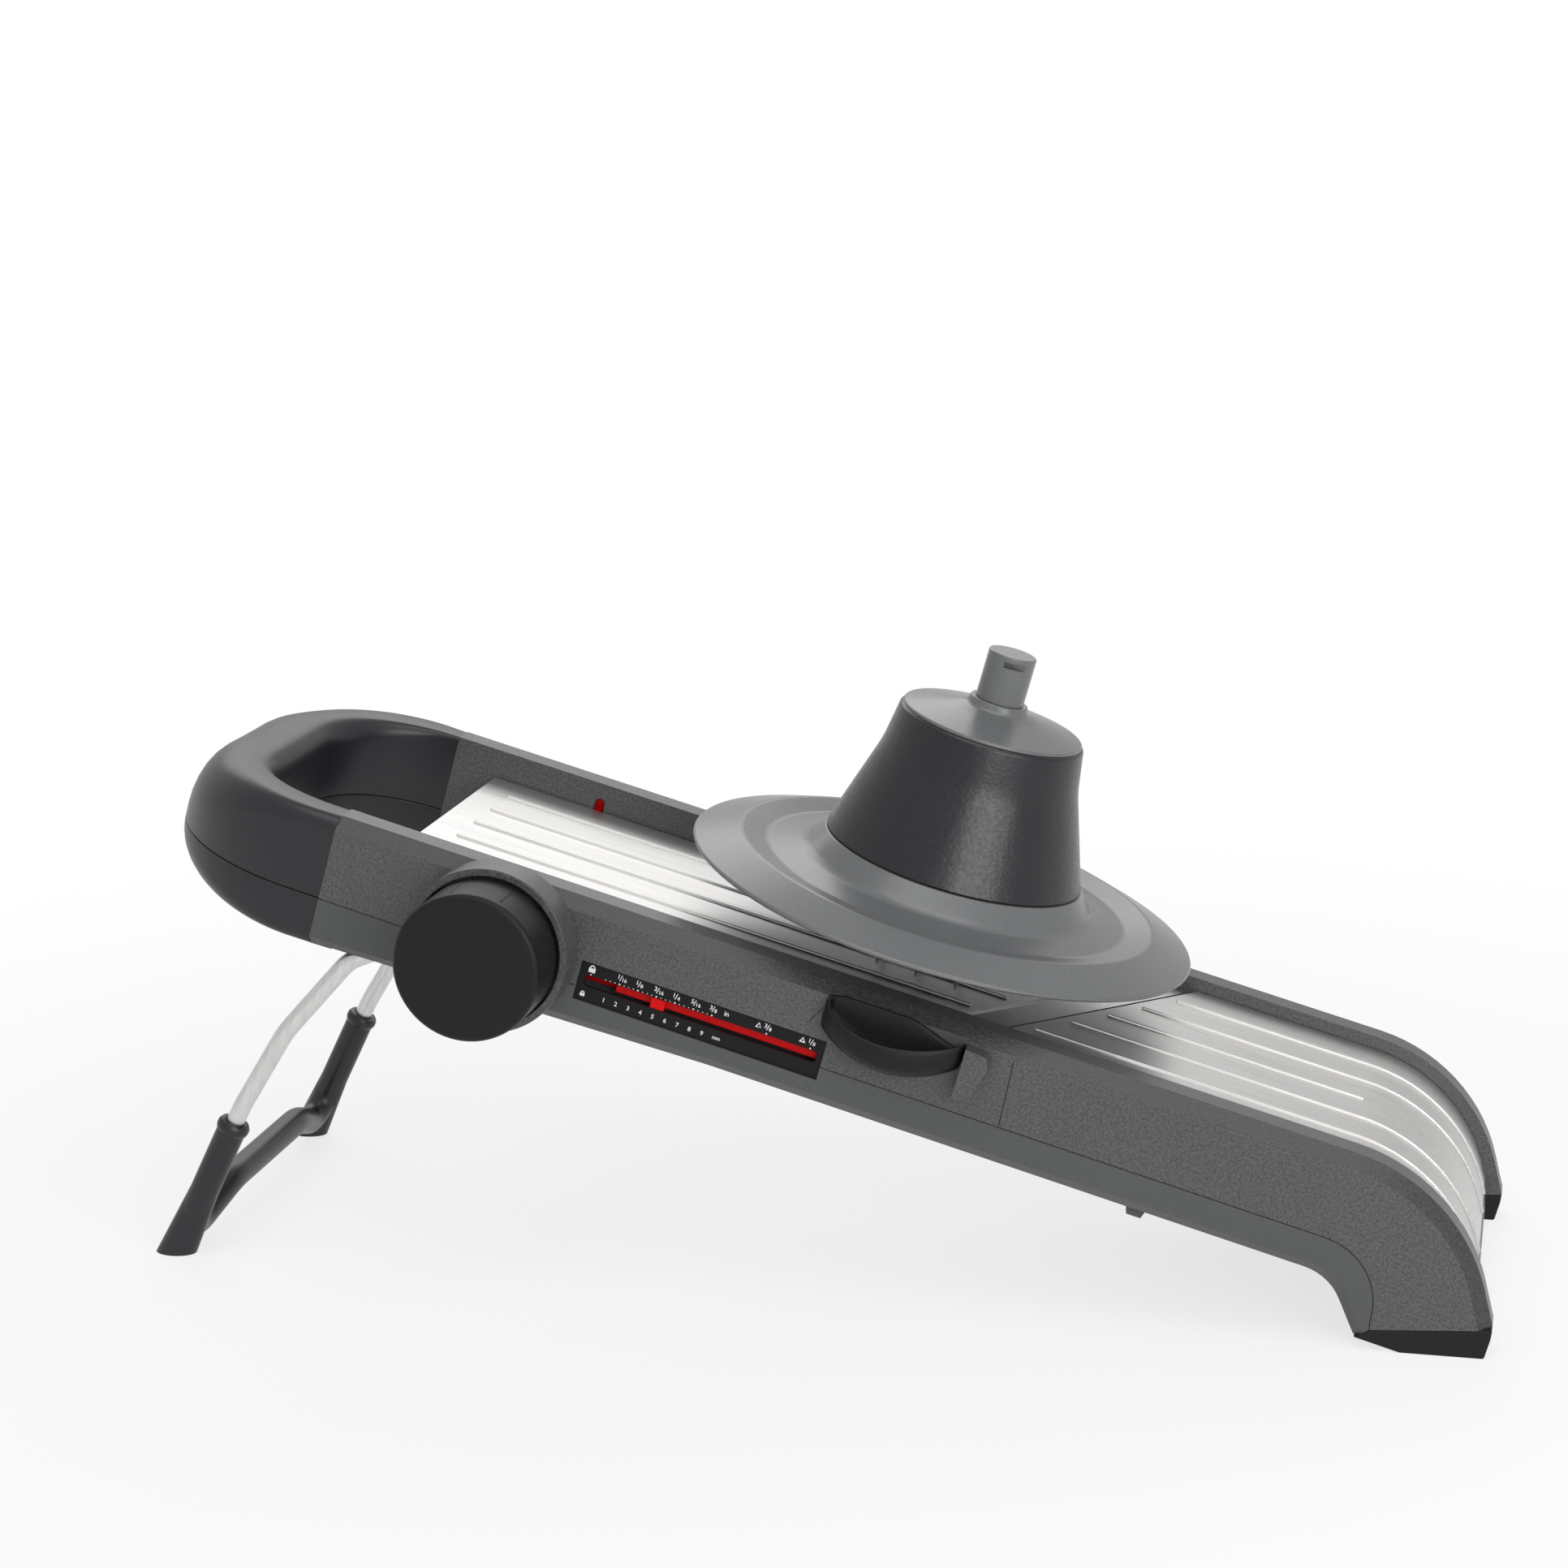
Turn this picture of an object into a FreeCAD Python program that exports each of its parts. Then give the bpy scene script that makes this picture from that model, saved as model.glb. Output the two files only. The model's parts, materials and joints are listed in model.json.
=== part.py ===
"""Mandoline slicer with a folding leg, thickness knob, slide-out blade and food holder.

The pieces are drawn in the deck frame: X runs down the deck from the handle to the front
feet, Y runs across it and Z is square to it, with Z = 0 at the top of the side rails.
Every piece then gets the same placement, which tilts the deck onto its leg and feet and
puts the origin at the centre of the footprint, on the surface the slicer stands on.
"""
import FreeCAD, Part
import math
import os
import re
import Sketcher
from FreeCAD import Placement, Rotation, Vector

SIZES = [
    # the stance
    ("tilt", 15.64), ("floor_drop", 160.05),
    # the side rails and the pan between them
    ("half_width", 67.1), ("pan_half", 54.5), ("wall", 2.6), ("rail_bevel", 4),
    ("belly_bevel", 3), ("seam_z", -26.7), ("belly_z", -38.5), ("floor_wall", 2.4), ("roof", 3.2),
    ("grip_seam", 50), ("brow_x", 404), ("brow_radius", 55), ("brow_turn", 60.7),
    ("toe_top", -37.8), ("toe_front", 425.6), ("heel_x", 391), ("heel_top", -49.8),
    ("heel_radius", 20), ("pad_back", 387.7), ("pad_back_z", -53.6), ("pad_rear", 402),
    ("apron_edge", 352), ("apron_skin", 3), ("cavity_start", 52), ("cavity_end", 268),
    ("bridge_start", 318), ("bridge_length", 34), ("bridge_thick", 4), ("tab_x", 312),
    # the handle loop
    ("handle_end", -12), ("handle_corner", 52), ("hole_end", 16), ("hole_corner", 34),
    ("handle_top", -0.6), ("handle_belly", -42.3), ("handle_side", 0.5),
    ("grip_round", 9),
    # steel plates
    ("sheet", 1.0), ("landing_z", -4.0), ("landing_half", 53.9), ("landing_end", -34),
    ("landing_back", 14.7), ("rib_back", 18), ("rib_start", 75.5), ("rib_width", 2.4),
    ("rib_height", 0.7), ("rib_pitch", 18),
    ("runway_top", -9.25), ("runway_start", 65.6), ("runway_half", 53.6),
    # the oblique blade
    ("blade_angle", 26.88), ("blade_x", 268), ("blade_width", 14.2),
    ("blade_thick", 1.2), ("blade_half", 56), ("edge_gap", 1.2), ("seat_gap", 0.3),
    ("frame_depth", 5.4), ("frame_far", 59.5), ("frame_near", -67),
    ("rivet_radius", 1.1), ("lever_x", 232), ("lever_width", 44), ("lever_out", 13.5),
    ("lever_height", 17.4), ("lever_top", -2.2), ("lever_wall", 2.2), ("socket_out", 6),
    # the thickness drive
    ("knob_x", 107.6), ("knob_z", -21.2), ("knob_radius", 22.7), ("knob_depth", 19.3),
    ("knob_face", "=knob_back - knob_depth"), ("knob_back", "=boss_face - 0.8"),
    ("boss_radius", 25.6), ("boss_depth", 12.5), ("boss_face", "=-half_width - boss_depth"),
    ("boss_wall", 2.4),
    ("shaft_radius", 2.4), ("shaft_gap", 0.05), ("shaft_end", "=half_width - 1.5"), 
    ("pinion_teeth", 16), ("pinion_pitch", 8), ("tooth_depth", 1.0), ("tooth_half", 0.62),
    ("side_play", 0.4), ("cam_thick", 3),
    ("pinion_inner", "=cam_outer + side_play"),
    ("pinion_outer", "=half_width - wall - side_play"), ("drive_gap", 0.3),
    ("cam_inner", "=pan_half + wall + side_play"), ("cam_outer", "=cam_inner + cam_thick"),
    ("cam_start", 78), ("cam_length", 120),
    ("cam_top", -3.6), ("cam_bottom", -25.9), ("ramp_slope", 0.25), ("travel_back", 21),
    ("travel_on", 17), ("pin_radius", 1.7), ("pin_gap", 0.08), ("pin_z", -12.3),
    ("beam_skin", 0.45), ("beam_width", 6.5),
    ("rear_pin_x", 102.5), ("front_pin_x", 165), ("pin_tip", 60.3),
    ("bar_start", 146.6), ("bar_end", 240), ("bar_top", -23.3), ("bar_bottom", -25.6),
    ("bar_face", "=half_width - 3.1"), ("pointer_x", 160.6), ("pointer_width", 4.4),
    # the scale panel
    ("scale_start", 134.8), ("scale_end", 213.5), ("scale_top", -18.3), ("scale_bottom", -31),
    ("panel_thick", 1.6), ("panel_inset", 0.7), ("slot_start", 136.8), ("slot_end", 211.5),
    ("slot_top", -22.6), ("slot_bottom", -26.2), ("pointer_lift", 0.5),
    # the folding leg
    ("leg_x", 80), ("leg_z", -31.6), ("leg_half", "=(pan_half + half_width) / 2"), ("wire_radius", 2.9),
    ("sleeve_radius", 4.6), ("leg_pin_radius", 1.6), ("leg_boss", 4.2),
    ("leg_slot_start", 57), ("leg_slot_end", 116), ("foot_x", 30.4), ("leg_lean", 10),
    ("wire_low_end", 2), ("flare_start", 34), ("flare_end", 8),
    ("sleeve_length", 49), ("arch_height", 16.5), ("arch_half", 30), ("toe_length", 13),
    # the food holder
    ("holder_x", 227.5), ("rim_radius", 81.2), ("rim_z", 17.2), ("holder_wall", 2.4),
    ("grip_bottom_radius", 41.4), ("grip_top_radius", 29.4), ("grip_bottom_z", 30),
    ("grip_top_z", 74.4), ("grip_thick", 2.2), ("neck_z", 82.2), ("neck_radius", 9),
    ("plunger_radius", 7.6), ("plunger_height", 15.4), ("stem_radius", 4.6),
    ("pusher_radius", 21), ("pusher_thick", 3), ("pusher_z", 4.5), ("prong_radius", 0.9),
    ("spring_radius", 11), ("spring_wire", 0.7), ("spring_turns", 9),
    ("screw_radius", 1.5), ("screw_head", 3), ("head_height", 2), ("screw_tip", -15.5),
    ("screw_back", 285), ("screw_front", 345),
    ("bush_radius", 3.4), ("wheel_radius", 14), ("wheel_notches", 24), ("bed_width", 6), ("bed_depth", 4),
]

DOC = FreeCAD.newDocument("mandoline")
SHEET = DOC.addObject("Spreadsheet::Sheet", "Sizes")
for row, (alias, number) in enumerate(SIZES, 1):
    SHEET.set("A%d" % row, alias)
    SHEET.set("B%d" % row, str(number))
    SHEET.setAlias("B%d" % row, alias)
DOC.recompute()

NODES = []          # (label, object, its own place in the deck frame)
ALIASES = set(alias for alias, number in SIZES)


def bound(words):
    """An expression on the sheet, from the plain names of its cells."""
    return re.sub(r"[a-z_]+", lambda m: "Sizes." + m.group() if m.group() in ALIASES else m.group(),
                  str(words))


def value(words):
    """The number that an expression gives now."""
    return float(SHEET.evalExpression(bound(words)))


def node(label, item, place=None):
    """Name a finished sub-part and remember where it lies in the deck frame."""
    item.Label = label
    NODES.append((label, item, place or Placement()))
    return item


# ---------------------------------------------------------------- sketched features

def new_body(name):
    return DOC.addObject("PartDesign::Body", name + "_body")


def plane_of(body, role):
    return [o for o in body.Origin.OriginFeatures if o.Role == role][0]


def outline(body, plane, corners, offset="0"):
    """A closed sketch; each corner is (first, second) or (first, second, radius)."""
    sketch = body.newObject("Sketcher::SketchObject", "outline")
    sketch.AttachmentSupport = [(plane_of(body, plane), "")]
    sketch.MapMode = "FlatFace"
    sketch.setExpression("AttachmentOffset.Base.z", bound(offset))
    points = [Vector(value(c[0]), value(c[1]), 0) for c in corners]
    radii = [value(c[2]) if len(c) > 2 else 0.0 for c in corners]
    count = len(corners)
    starts = []
    ends = []
    arcs = []
    for i in range(count):
        back = (points[i - 1] - points[i]).normalize()
        ahead = (points[(i + 1) % count] - points[i]).normalize()
        if radii[i] == 0:
            starts.append(points[i])
            ends.append(points[i])
            arcs.append(None)
            continue
        half = back.getAngle(ahead) / 2
        reach = radii[i] / math.tan(half)
        centre = points[i] + (back + ahead).normalize() * (radii[i] / math.sin(half))
        middle = centre + (points[i] - centre).normalize() * radii[i]
        ends.append(points[i] + back * reach)
        starts.append(points[i] + ahead * reach)
        arcs.append(Part.Arc(ends[i], middle, starts[i]))
    lines = []
    for i in range(count):
        lines.append(sketch.addGeometry(Part.LineSegment(starts[i], ends[(i + 1) % count])))
    for i in range(count):
        before = lines[i - 1]
        after = lines[i]
        if arcs[i] is None:
            sketch.addConstraint(Sketcher.Constraint("Coincident", before, 2, after, 1))
            spot = (after, 1)
        else:
            circle = arcs[i].toShape().Curve
            turned = circle.Axis.z < 0
            curve = sketch.addGeometry(arcs[i])
            first, last = (2, 1) if turned else (1, 2)
            sketch.addConstraint(Sketcher.Constraint("Tangent", before, 2, curve, first))
            sketch.addConstraint(Sketcher.Constraint("Tangent", curve, last, after, 1))
            mark = sketch.addConstraint(Sketcher.Constraint("Radius", curve, radii[i]))
            sketch.setExpression("Constraints[%d]" % mark, bound(corners[i][2]))
            vertex = sketch.addGeometry(Part.Point(points[i]), True)
            sketch.addConstraint(Sketcher.Constraint("PointOnObject", vertex, 1, before))
            sketch.addConstraint(Sketcher.Constraint("PointOnObject", vertex, 1, after))
            spot = (vertex, 1)
        for kind, number, words in (("DistanceX", points[i].x, corners[i][0]),
                                    ("DistanceY", points[i].y, corners[i][1])):
            mark = sketch.addConstraint(Sketcher.Constraint(kind, spot[0], spot[1], number))
            sketch.setExpression("Constraints[%d]" % mark, bound(words))
    DOC.recompute()
    return sketch


def circles(body, plane, rounds, offset="0"):
    """A sketch of circles, each (first, second, radius)."""
    sketch = body.newObject("Sketcher::SketchObject", "circles")
    sketch.AttachmentSupport = [(plane_of(body, plane), "")]
    sketch.MapMode = "FlatFace"
    sketch.setExpression("AttachmentOffset.Base.z", bound(offset))
    for first, second, radius in rounds:
        centre = Vector(value(first), value(second), 0)
        curve = sketch.addGeometry(Part.Circle(centre, Vector(0, 0, 1), value(radius)))
        for constraint, words in (
                (Sketcher.Constraint("DistanceX", curve, 3, centre.x), first),
                (Sketcher.Constraint("DistanceY", curve, 3, centre.y), second),
                (Sketcher.Constraint("Radius", curve, value(radius)), radius)):
            mark = sketch.addConstraint(constraint)
            sketch.setExpression("Constraints[%d]" % mark, bound(words))
    DOC.recompute()
    return sketch


def grow(body, sketch, length):
    """Pad a sketch along its normal."""
    pad = body.newObject("PartDesign::Pad", "pad")
    pad.Profile = sketch
    pad.setExpression("Length", bound(length))
    DOC.recompute()
    return pad


def cut(body, sketch, length):
    """Pocket a sketch along its normal and make sure that it took something away."""
    before = body.Shape.Volume
    pocket = body.newObject("PartDesign::Pocket", "pocket")
    pocket.Profile = sketch
    pocket.setExpression("Length", bound(length))
    pocket.Reversed = True
    DOC.recompute()
    if body.Shape.Volume > before - 0.01:
        raise ValueError("a pocket in %s cuts nothing" % body.Name)
    return pocket


def start_of(plane, low, high):
    """The sketch offset from which a feature covers low to high on the plane's axis."""
    return "-(%s)" % high if plane == "XZ_Plane" else low


def add(body, plane, corners, low, high):
    """Grow an outline from low to high on the axis square to its plane."""
    return grow(body, outline(body, plane, corners, start_of(plane, low, high)),
                "(%s) - (%s)" % (high, low))


def take(body, plane, corners, low, high):
    """Cut an outline from low to high on the axis square to its plane."""
    return cut(body, outline(body, plane, corners, start_of(plane, low, high)),
               "(%s) - (%s)" % (high, low))


def drill(body, plane, rounds, low, high):
    """Cut circles from low to high on the axis square to their plane."""
    return cut(body, circles(body, plane, rounds, start_of(plane, low, high)),
               "(%s) - (%s)" % (high, low))


def pad_round(body, plane, rounds, low, high):
    """Grow circles from low to high on the axis square to their plane."""
    return grow(body, circles(body, plane, rounds, start_of(plane, low, high)),
                "(%s) - (%s)" % (high, low))


def frame4(x_low, y_low, x_high, y_high, radius=None):
    """The corners of a rectangle, all with one radius if it is given."""
    corners = [(x_low, y_low), (x_high, y_low), (x_high, y_high), (x_low, y_high)]
    return [corner + (radius,) for corner in corners] if radius else corners


def spin(body, corners):
    """Turn an outline of (radius, height) about the body's own Z axis."""
    sketch = outline(body, "XZ_Plane", corners)
    turned = body.newObject("PartDesign::Revolution", "turned")
    turned.Profile = sketch
    turned.ReferenceAxis = (plane_of(body, "Z_Axis"), [""])
    turned.Angle = 360
    DOC.recompute()
    return turned


def dress(body, kind, size, test):
    """Fillet or chamfer the edges of the body's tip that pass the test."""
    tip = body.Tip
    names = ["Edge%d" % i for i, edge in enumerate(tip.Shape.Edges, 1) if test(edge)]
    feature = body.newObject("PartDesign::" + kind, kind.lower())
    feature.Base = (tip, names)
    feature.setExpression("Radius" if kind == "Fillet" else "Size", bound(size))
    DOC.recompute()
    return feature


def middle_of(edge):
    return edge.valueAt((edge.FirstParameter + edge.LastParameter) / 2)


# ---------------------------------------------------------------- primitives

def box(x, y, z, length, width, height):
    item = DOC.addObject("Part::Box", "block")
    for name, words in (("Placement.Base.x", x), ("Placement.Base.y", y),
                        ("Placement.Base.z", z), ("Length", length), ("Width", width),
                        ("Height", height)):
        item.setExpression(name, bound(words))
    return item


def rod(x, y, z, radius, height, axis="Z", kind="Part::Cylinder", radius2=None):
    """A cylinder or cone from its base centre along +X, +Y or +Z."""
    item = DOC.addObject(kind, "rod")
    turn = {"Z": Rotation(), "Y": Rotation(Vector(1, 0, 0), -90),
            "X": Rotation(Vector(0, 1, 0), 90)}[axis]
    item.Placement = Placement(Vector(), turn)
    names = [("Placement.Base.x", x), ("Placement.Base.y", y), ("Placement.Base.z", z),
             ("Height", height)]
    if kind == "Part::Cone":
        names += [("Radius1", radius), ("Radius2", radius2)]
    else:
        names.append(("Radius", radius))
    for name, words in names:
        item.setExpression(name, bound(words))
    return item


def fuse(items, name="joined"):
    item = DOC.addObject("Part::MultiFuse", name)
    item.Shapes = items
    return item


def less(base, tool, name="trimmed"):
    item = DOC.addObject("Part::Cut", name)
    item.Base = base
    item.Tool = tool
    return item


BLADE_PLACE = Placement(Vector(value("blade_x"), 0, 0),
                        Rotation(Vector(0, 0, 1), -value("blade_angle")))


# ---------------------------------------------------------------- shared outlines

SIDES = (("near", -1), ("far", 1))
PAN_LOW = "-pan_half"
PAN_HIGH = "pan_half"
FRONT = "toe_front + 30"
BELOW = "belly_z - 40"
RAMP_UNIT = "(1 / sqrt(1 + ramp_slope ^ 2))"


def brow(depth):
    """The corner over the front feet of a line that lies depth under the rail tops."""
    return ("brow_x - (%s) * tan(brow_turn / 2 * 1 deg)" % depth, "-(%s)" % depth,
            "brow_radius - (%s)" % depth)


def brow_end(depth, height):
    """Where that line, past its corner, comes down to a height."""
    along = "((0 - (%s)) - (%s)) / tan(brow_turn * 1 deg)" % (depth, height)
    return ("brow_x - (%s) * tan(brow_turn / 2 * 1 deg) + %s" % (depth, along), height)


def oblique(shift, across):
    """X of a line along the blade: shift is square to the blade, across is Y."""
    return "blade_x + (%s) / cos(blade_angle * 1 deg) + tan(blade_angle * 1 deg) * (%s)" % (
        shift, across)


def side_range(side, inner, outer):
    """A range across the deck, given by its distances from the middle line."""
    return ("-(%s)" % outer, "-(%s)" % inner) if side < 0 else (inner, outer)


def cavity(body, low, high, start="cavity_start", end="cavity_end"):
    """Hollow both rails between two heights."""
    for name, side in SIDES:
        y_low, y_high = side_range(side, "pan_half + wall", "half_width - wall")
        take(body, "XY_Plane", frame4(start, y_low, end, y_high), low, high)


# ---------------------------------------------------------------- housing

def upper_housing():
    """Both rails and the curved apron that joins them over the front feet."""
    body = new_body("upper_housing")
    side_view = [("grip_seam", "0"), brow("0"), brow_end("0", "toe_top"),
                 ("heel_x + 0.6", "heel_top"), ("heel_x", "seam_z", "heel_radius"),
                 ("grip_seam", "seam_z")]
    add(body, "XZ_Plane", side_view, "-half_width", "half_width")

    def outer_top(edge):
        spot = middle_of(edge)
        on_side = abs(abs(spot.y) - value("half_width")) < 0.01
        return on_side and (spot.z > -0.5 or (spot.x > value("brow_x") - 9 and
                                              spot.z > value("toe_top") + 0.5))
    dress(body, "Chamfer", "rail_bevel", outer_top)
    take(body, "XY_Plane", frame4("grip_seam - 1", PAN_LOW, "apron_edge", PAN_HIGH),
         BELOW, "5")
    top = "sheet - landing_z"
    take(body, "XZ_Plane", [("apron_edge - 1", "-(%s)" % top), brow(top), brow_end(top, BELOW),
                            (FRONT, BELOW), (FRONT, "5"), ("apron_edge - 1", "5")],
         PAN_LOW, PAN_HIGH)
    under = "sheet - landing_z + apron_skin"
    take(body, "XZ_Plane", [("apron_edge - 1", "-(%s)" % under), ("apron_edge - 1", BELOW),
                            ("brow_x", BELOW), ("brow_x", "landing_end - 8"),
                            brow_end(under, "landing_end - 8"), brow(under)],
         PAN_LOW, PAN_HIGH)
    cavity(body, "seam_z - 1", "-roof")
    for name, side in SIDES:
        y_low, y_high = side_range(side, "pan_half - 1", "pan_half + wall + 1")
        for pin_x in ("rear_pin_x", "front_pin_x"):
            reach = "pin_radius + pin_gap"
            take(body, "XZ_Plane",
                 frame4("%s - %s" % (pin_x, reach.replace("+", "-")),
                        "pin_z - travel_on * ramp_slope - pin_radius - pin_gap",
                        "%s + %s" % (pin_x, reach),
                        "pin_z + travel_back * ramp_slope + pin_radius + pin_gap",
                        "pin_radius - 0.1"), y_low, y_high)
    drill(body, "XZ_Plane", [("knob_x", "knob_z", "bush_radius")],
          "-half_width - 1", "pan_half + wall + 1")
    drill(body, "XZ_Plane", [("knob_x", "knob_z", "shaft_radius + shaft_gap")],
          "pan_half + wall", "shaft_end + seat_gap")
    take(body, "XZ_Plane",
         frame4("scale_start", "seam_z - 1", "scale_end", "scale_top"),
         "-half_width - 1", "-half_width + wall")
    gap = "seat_gap"
    lows = ("-half_width - 2", "-pan_half + 1")
    take(body, "XY_Plane",
         [(oblique("-edge_gap", lows[0]), lows[0]),
          (oblique("blade_width + " + gap, lows[0]), lows[0]),
          (oblique("blade_width + " + gap, lows[1]), lows[1]),
          (oblique("-edge_gap", lows[1]), lows[1])],
         "landing_z - frame_depth - " + gap, "landing_z + " + gap)

    drill(body, "XY_Plane", screw_rounds("screw_radius"), "seam_z - 1", "screw_tip")
    socket = "lever_x + lever_width / 2 + 0.4"
    add(body, "XZ_Plane",
        [(socket, "lever_top - 2.4"), (socket + " + 6.5", "lever_top - 3"),
         (socket + " + 8", "lever_top - 6.3"), (socket + " + 5.6", "lever_top - 15.3"),
         (socket + " + 2", "lever_top - 18.6"), (socket, "lever_top - 18.6")],
        "-half_width - socket_out", "-half_width")
    node("upper_housing", body)


def lower_housing():
    """The bottom halves of the rails, joined by a bridge under the landing plate."""
    body = new_body("lower_housing")
    side_view = [("grip_seam", "seam_z"), ("heel_x", "seam_z", "heel_radius"),
                 ("heel_x + 0.6", "heel_top"), ("pad_back", "pad_back_z"),
                 ("pad_back - 12", "belly_z", "heel_radius - 4"), ("180", "belly_z", "300"),
                 ("grip_seam", "handle_belly")]
    add(body, "XZ_Plane", side_view, "-half_width", "half_width")

    def outer_bottom(edge):
        spot = middle_of(edge)
        on_side = abs(abs(spot.y) - value("half_width")) < 0.01
        low = value("belly_z") - 6 < spot.z < value("belly_z") + 0.5
        return on_side and low and spot.x < value("pad_back") - 20
    dress(body, "Chamfer", "belly_bevel", outer_bottom)
    take(body, "XY_Plane", frame4("grip_seam - 1", PAN_LOW, "bridge_start", PAN_HIGH),
         BELOW, "5")
    take(body, "XY_Plane", frame4("bridge_start + bridge_length", PAN_LOW, FRONT, PAN_HIGH),
         BELOW, "5")
    take(body, "XZ_Plane", frame4("bridge_start - 1", "belly_z + bridge_thick",
                                  "bridge_start + bridge_length + 1", "5"),
         PAN_LOW, PAN_HIGH)
    cavity(body, "belly_z + floor_wall", "seam_z + 1")
    for name, side in SIDES:
        y_low, y_high = side_range(side, "pan_half + wall", "half_width - wall")
        take(body, "XY_Plane", frame4("leg_slot_start", y_low, "leg_slot_end", y_high),
             BELOW, "seam_z - 1")
        y_low, y_high = side_range(side, "pan_half - 1", "half_width - 0.8")
        drill(body, "XZ_Plane", [("leg_x", "leg_z", "leg_pin_radius")], y_low, y_high)
        y_low, y_high = side_range(side, "pan_half + 1", "pan_half + 6")
        add(body, "XZ_Plane", [("tab_x", "belly_z + 1"), ("tab_x + 1.5", "belly_z - 3.6"),
                               ("tab_x + 6", "belly_z - 3.6"), ("tab_x + 7.4", "belly_z + 1")],
            y_low, y_high)
    take(body, "XZ_Plane",
         frame4("scale_start", "scale_bottom", "scale_end", "seam_z + 1"),
         "-half_width - 1", "-half_width + wall")

    drill(body, "XY_Plane", screw_rounds("screw_radius"), "belly_z", "seam_z + 1")
    drill(body, "XY_Plane", screw_rounds("screw_head"), "belly_z - 1", "belly_z + head_height")
    node("lower_housing", body)


def handle_grips():
    """The soft loop at the high end, an upper and a lower shell."""
    for label, low, high, round_low, round_high in (
            ("handle_grip_upper", "seam_z", "handle_top", None, "12"),
            ("handle_grip_lower", "handle_belly", "seam_z", "14", None)):
        loop = new_body(label + "_plan")
        add(loop, "XY_Plane",
            [("grip_seam", "-half_width + handle_side"),
             ("grip_seam", "half_width - handle_side"),
             ("handle_end", "half_width - handle_side", "handle_corner"),
             ("handle_end", "-half_width + handle_side", "handle_corner")], low, high)
        rim = value(high if round_high else low)
        dress(loop, "Fillet", "grip_round", lambda edge: abs(middle_of(edge).z - rim) < 0.01
              and middle_of(edge).x < value("grip_seam") - 0.5)
        take(loop, "XY_Plane",
             [("grip_seam + 1", "-pan_half"), ("grip_seam + 1", "pan_half"),
              ("hole_end", "pan_half", "hole_corner"),
              ("hole_end", "-pan_half", "hole_corner")], low + " - 1", high + " + 1")
        side = new_body(label + "_side")
        end = [("handle_end", low), ("handle_end", high)]
        if round_low:
            end[0] = end[0] + (round_low,)
        if round_high:
            end[1] = end[1] + (round_high,)
        add(side, "XZ_Plane", [("grip_seam", low)] + end + [("grip_seam", high)],
            "-half_width", "half_width")
        common = DOC.addObject("Part::MultiCommon", label + "_loop")
        common.Shapes = [loop, side]
        node(label, common)


def foot_pads():
    """Rubber soles, flat on the ground, under both front feet."""
    slope = "tan(tilt * 1 deg)"
    base = "(0 - floor_drop / cos(tilt * 1 deg))"
    for name, side in SIDES:
        body = new_body(name + "_foot_pad")
        y_low, y_high = side_range(side, "pan_half", "half_width")
        add(body, "XZ_Plane",
            [brow_end("0", "toe_top"), ("toe_front", "toe_top - 3"),
             ("toe_front", "%s + %s * toe_front" % (base, slope)),
             ("pad_rear", "%s + %s * pad_rear" % (base, slope)),
             ("pad_back", "pad_back_z"), ("heel_x + 0.6", "heel_top")], y_low, y_high)
        node(name + "_foot_pad", body)


def landing_plate():
    """Steel plate past the blade, which bends down over the front."""
    body = new_body("landing_plate")
    top = "0 - landing_z"
    low = "sheet - landing_z"
    start = "blade_x - 30"
    add(body, "XZ_Plane", [(start, "landing_z"), brow(top), brow_end(top, "landing_end"),
                           brow_end(low, "landing_end"), brow(low), (start, "landing_z - sheet")],
        "-landing_half", "landing_half")
    edge = [("-landing_half - 1"), ("landing_half + 1")]
    take(body, "XY_Plane",
         [("blade_x - 60", edge[0]), (oblique("landing_back", edge[0]), edge[0]),
          (oblique("landing_back", edge[1]), edge[1]), ("blade_x - 60", edge[1])], "-30", "5")
    high = "0 - landing_z - rib_height"
    for step in range(-2, 3):
        middle = "%d * rib_pitch" % step
        start = oblique("rib_back", middle)
        over = [brow(high), brow_end(high, "landing_end + 1"),
                brow_end(top, "landing_end + 1"), brow(top)]
        sides = (middle + " - rib_width / 2", middle + " + rib_width / 2")
        if step:
            add(body, "XZ_Plane", [(start, "landing_z"), (start, "landing_z + rib_height")] + over,
                *sides)
        else:
            add(body, "XZ_Plane", frame4(start, "landing_z", "brow_x - 32.5",
                                         "landing_z + rib_height"), *sides)
    node("landing_plate", body)


def runway_plate():
    """Steel plate that carries the food up to the blade; the knob sets its height."""
    body = new_body("runway_plate")
    low = "-runway_half"
    high = "runway_half"
    add(body, "XY_Plane",
        [("runway_start", low), (oblique("-edge_gap", low), low),
         (oblique("-edge_gap", high), high), ("runway_start", high)],
        "runway_top - sheet", "runway_top")
    for step in range(-2, 3):
        middle = "%d * rib_pitch" % step
        add(body, "XZ_Plane",
            frame4("rib_start", "runway_top - 0.2", oblique("-edge_gap - 9", middle),
                   "runway_top + rib_height"),
            middle + " - rib_width / 2", middle + " + rib_width / 2")
    node("runway_plate", body)


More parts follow.
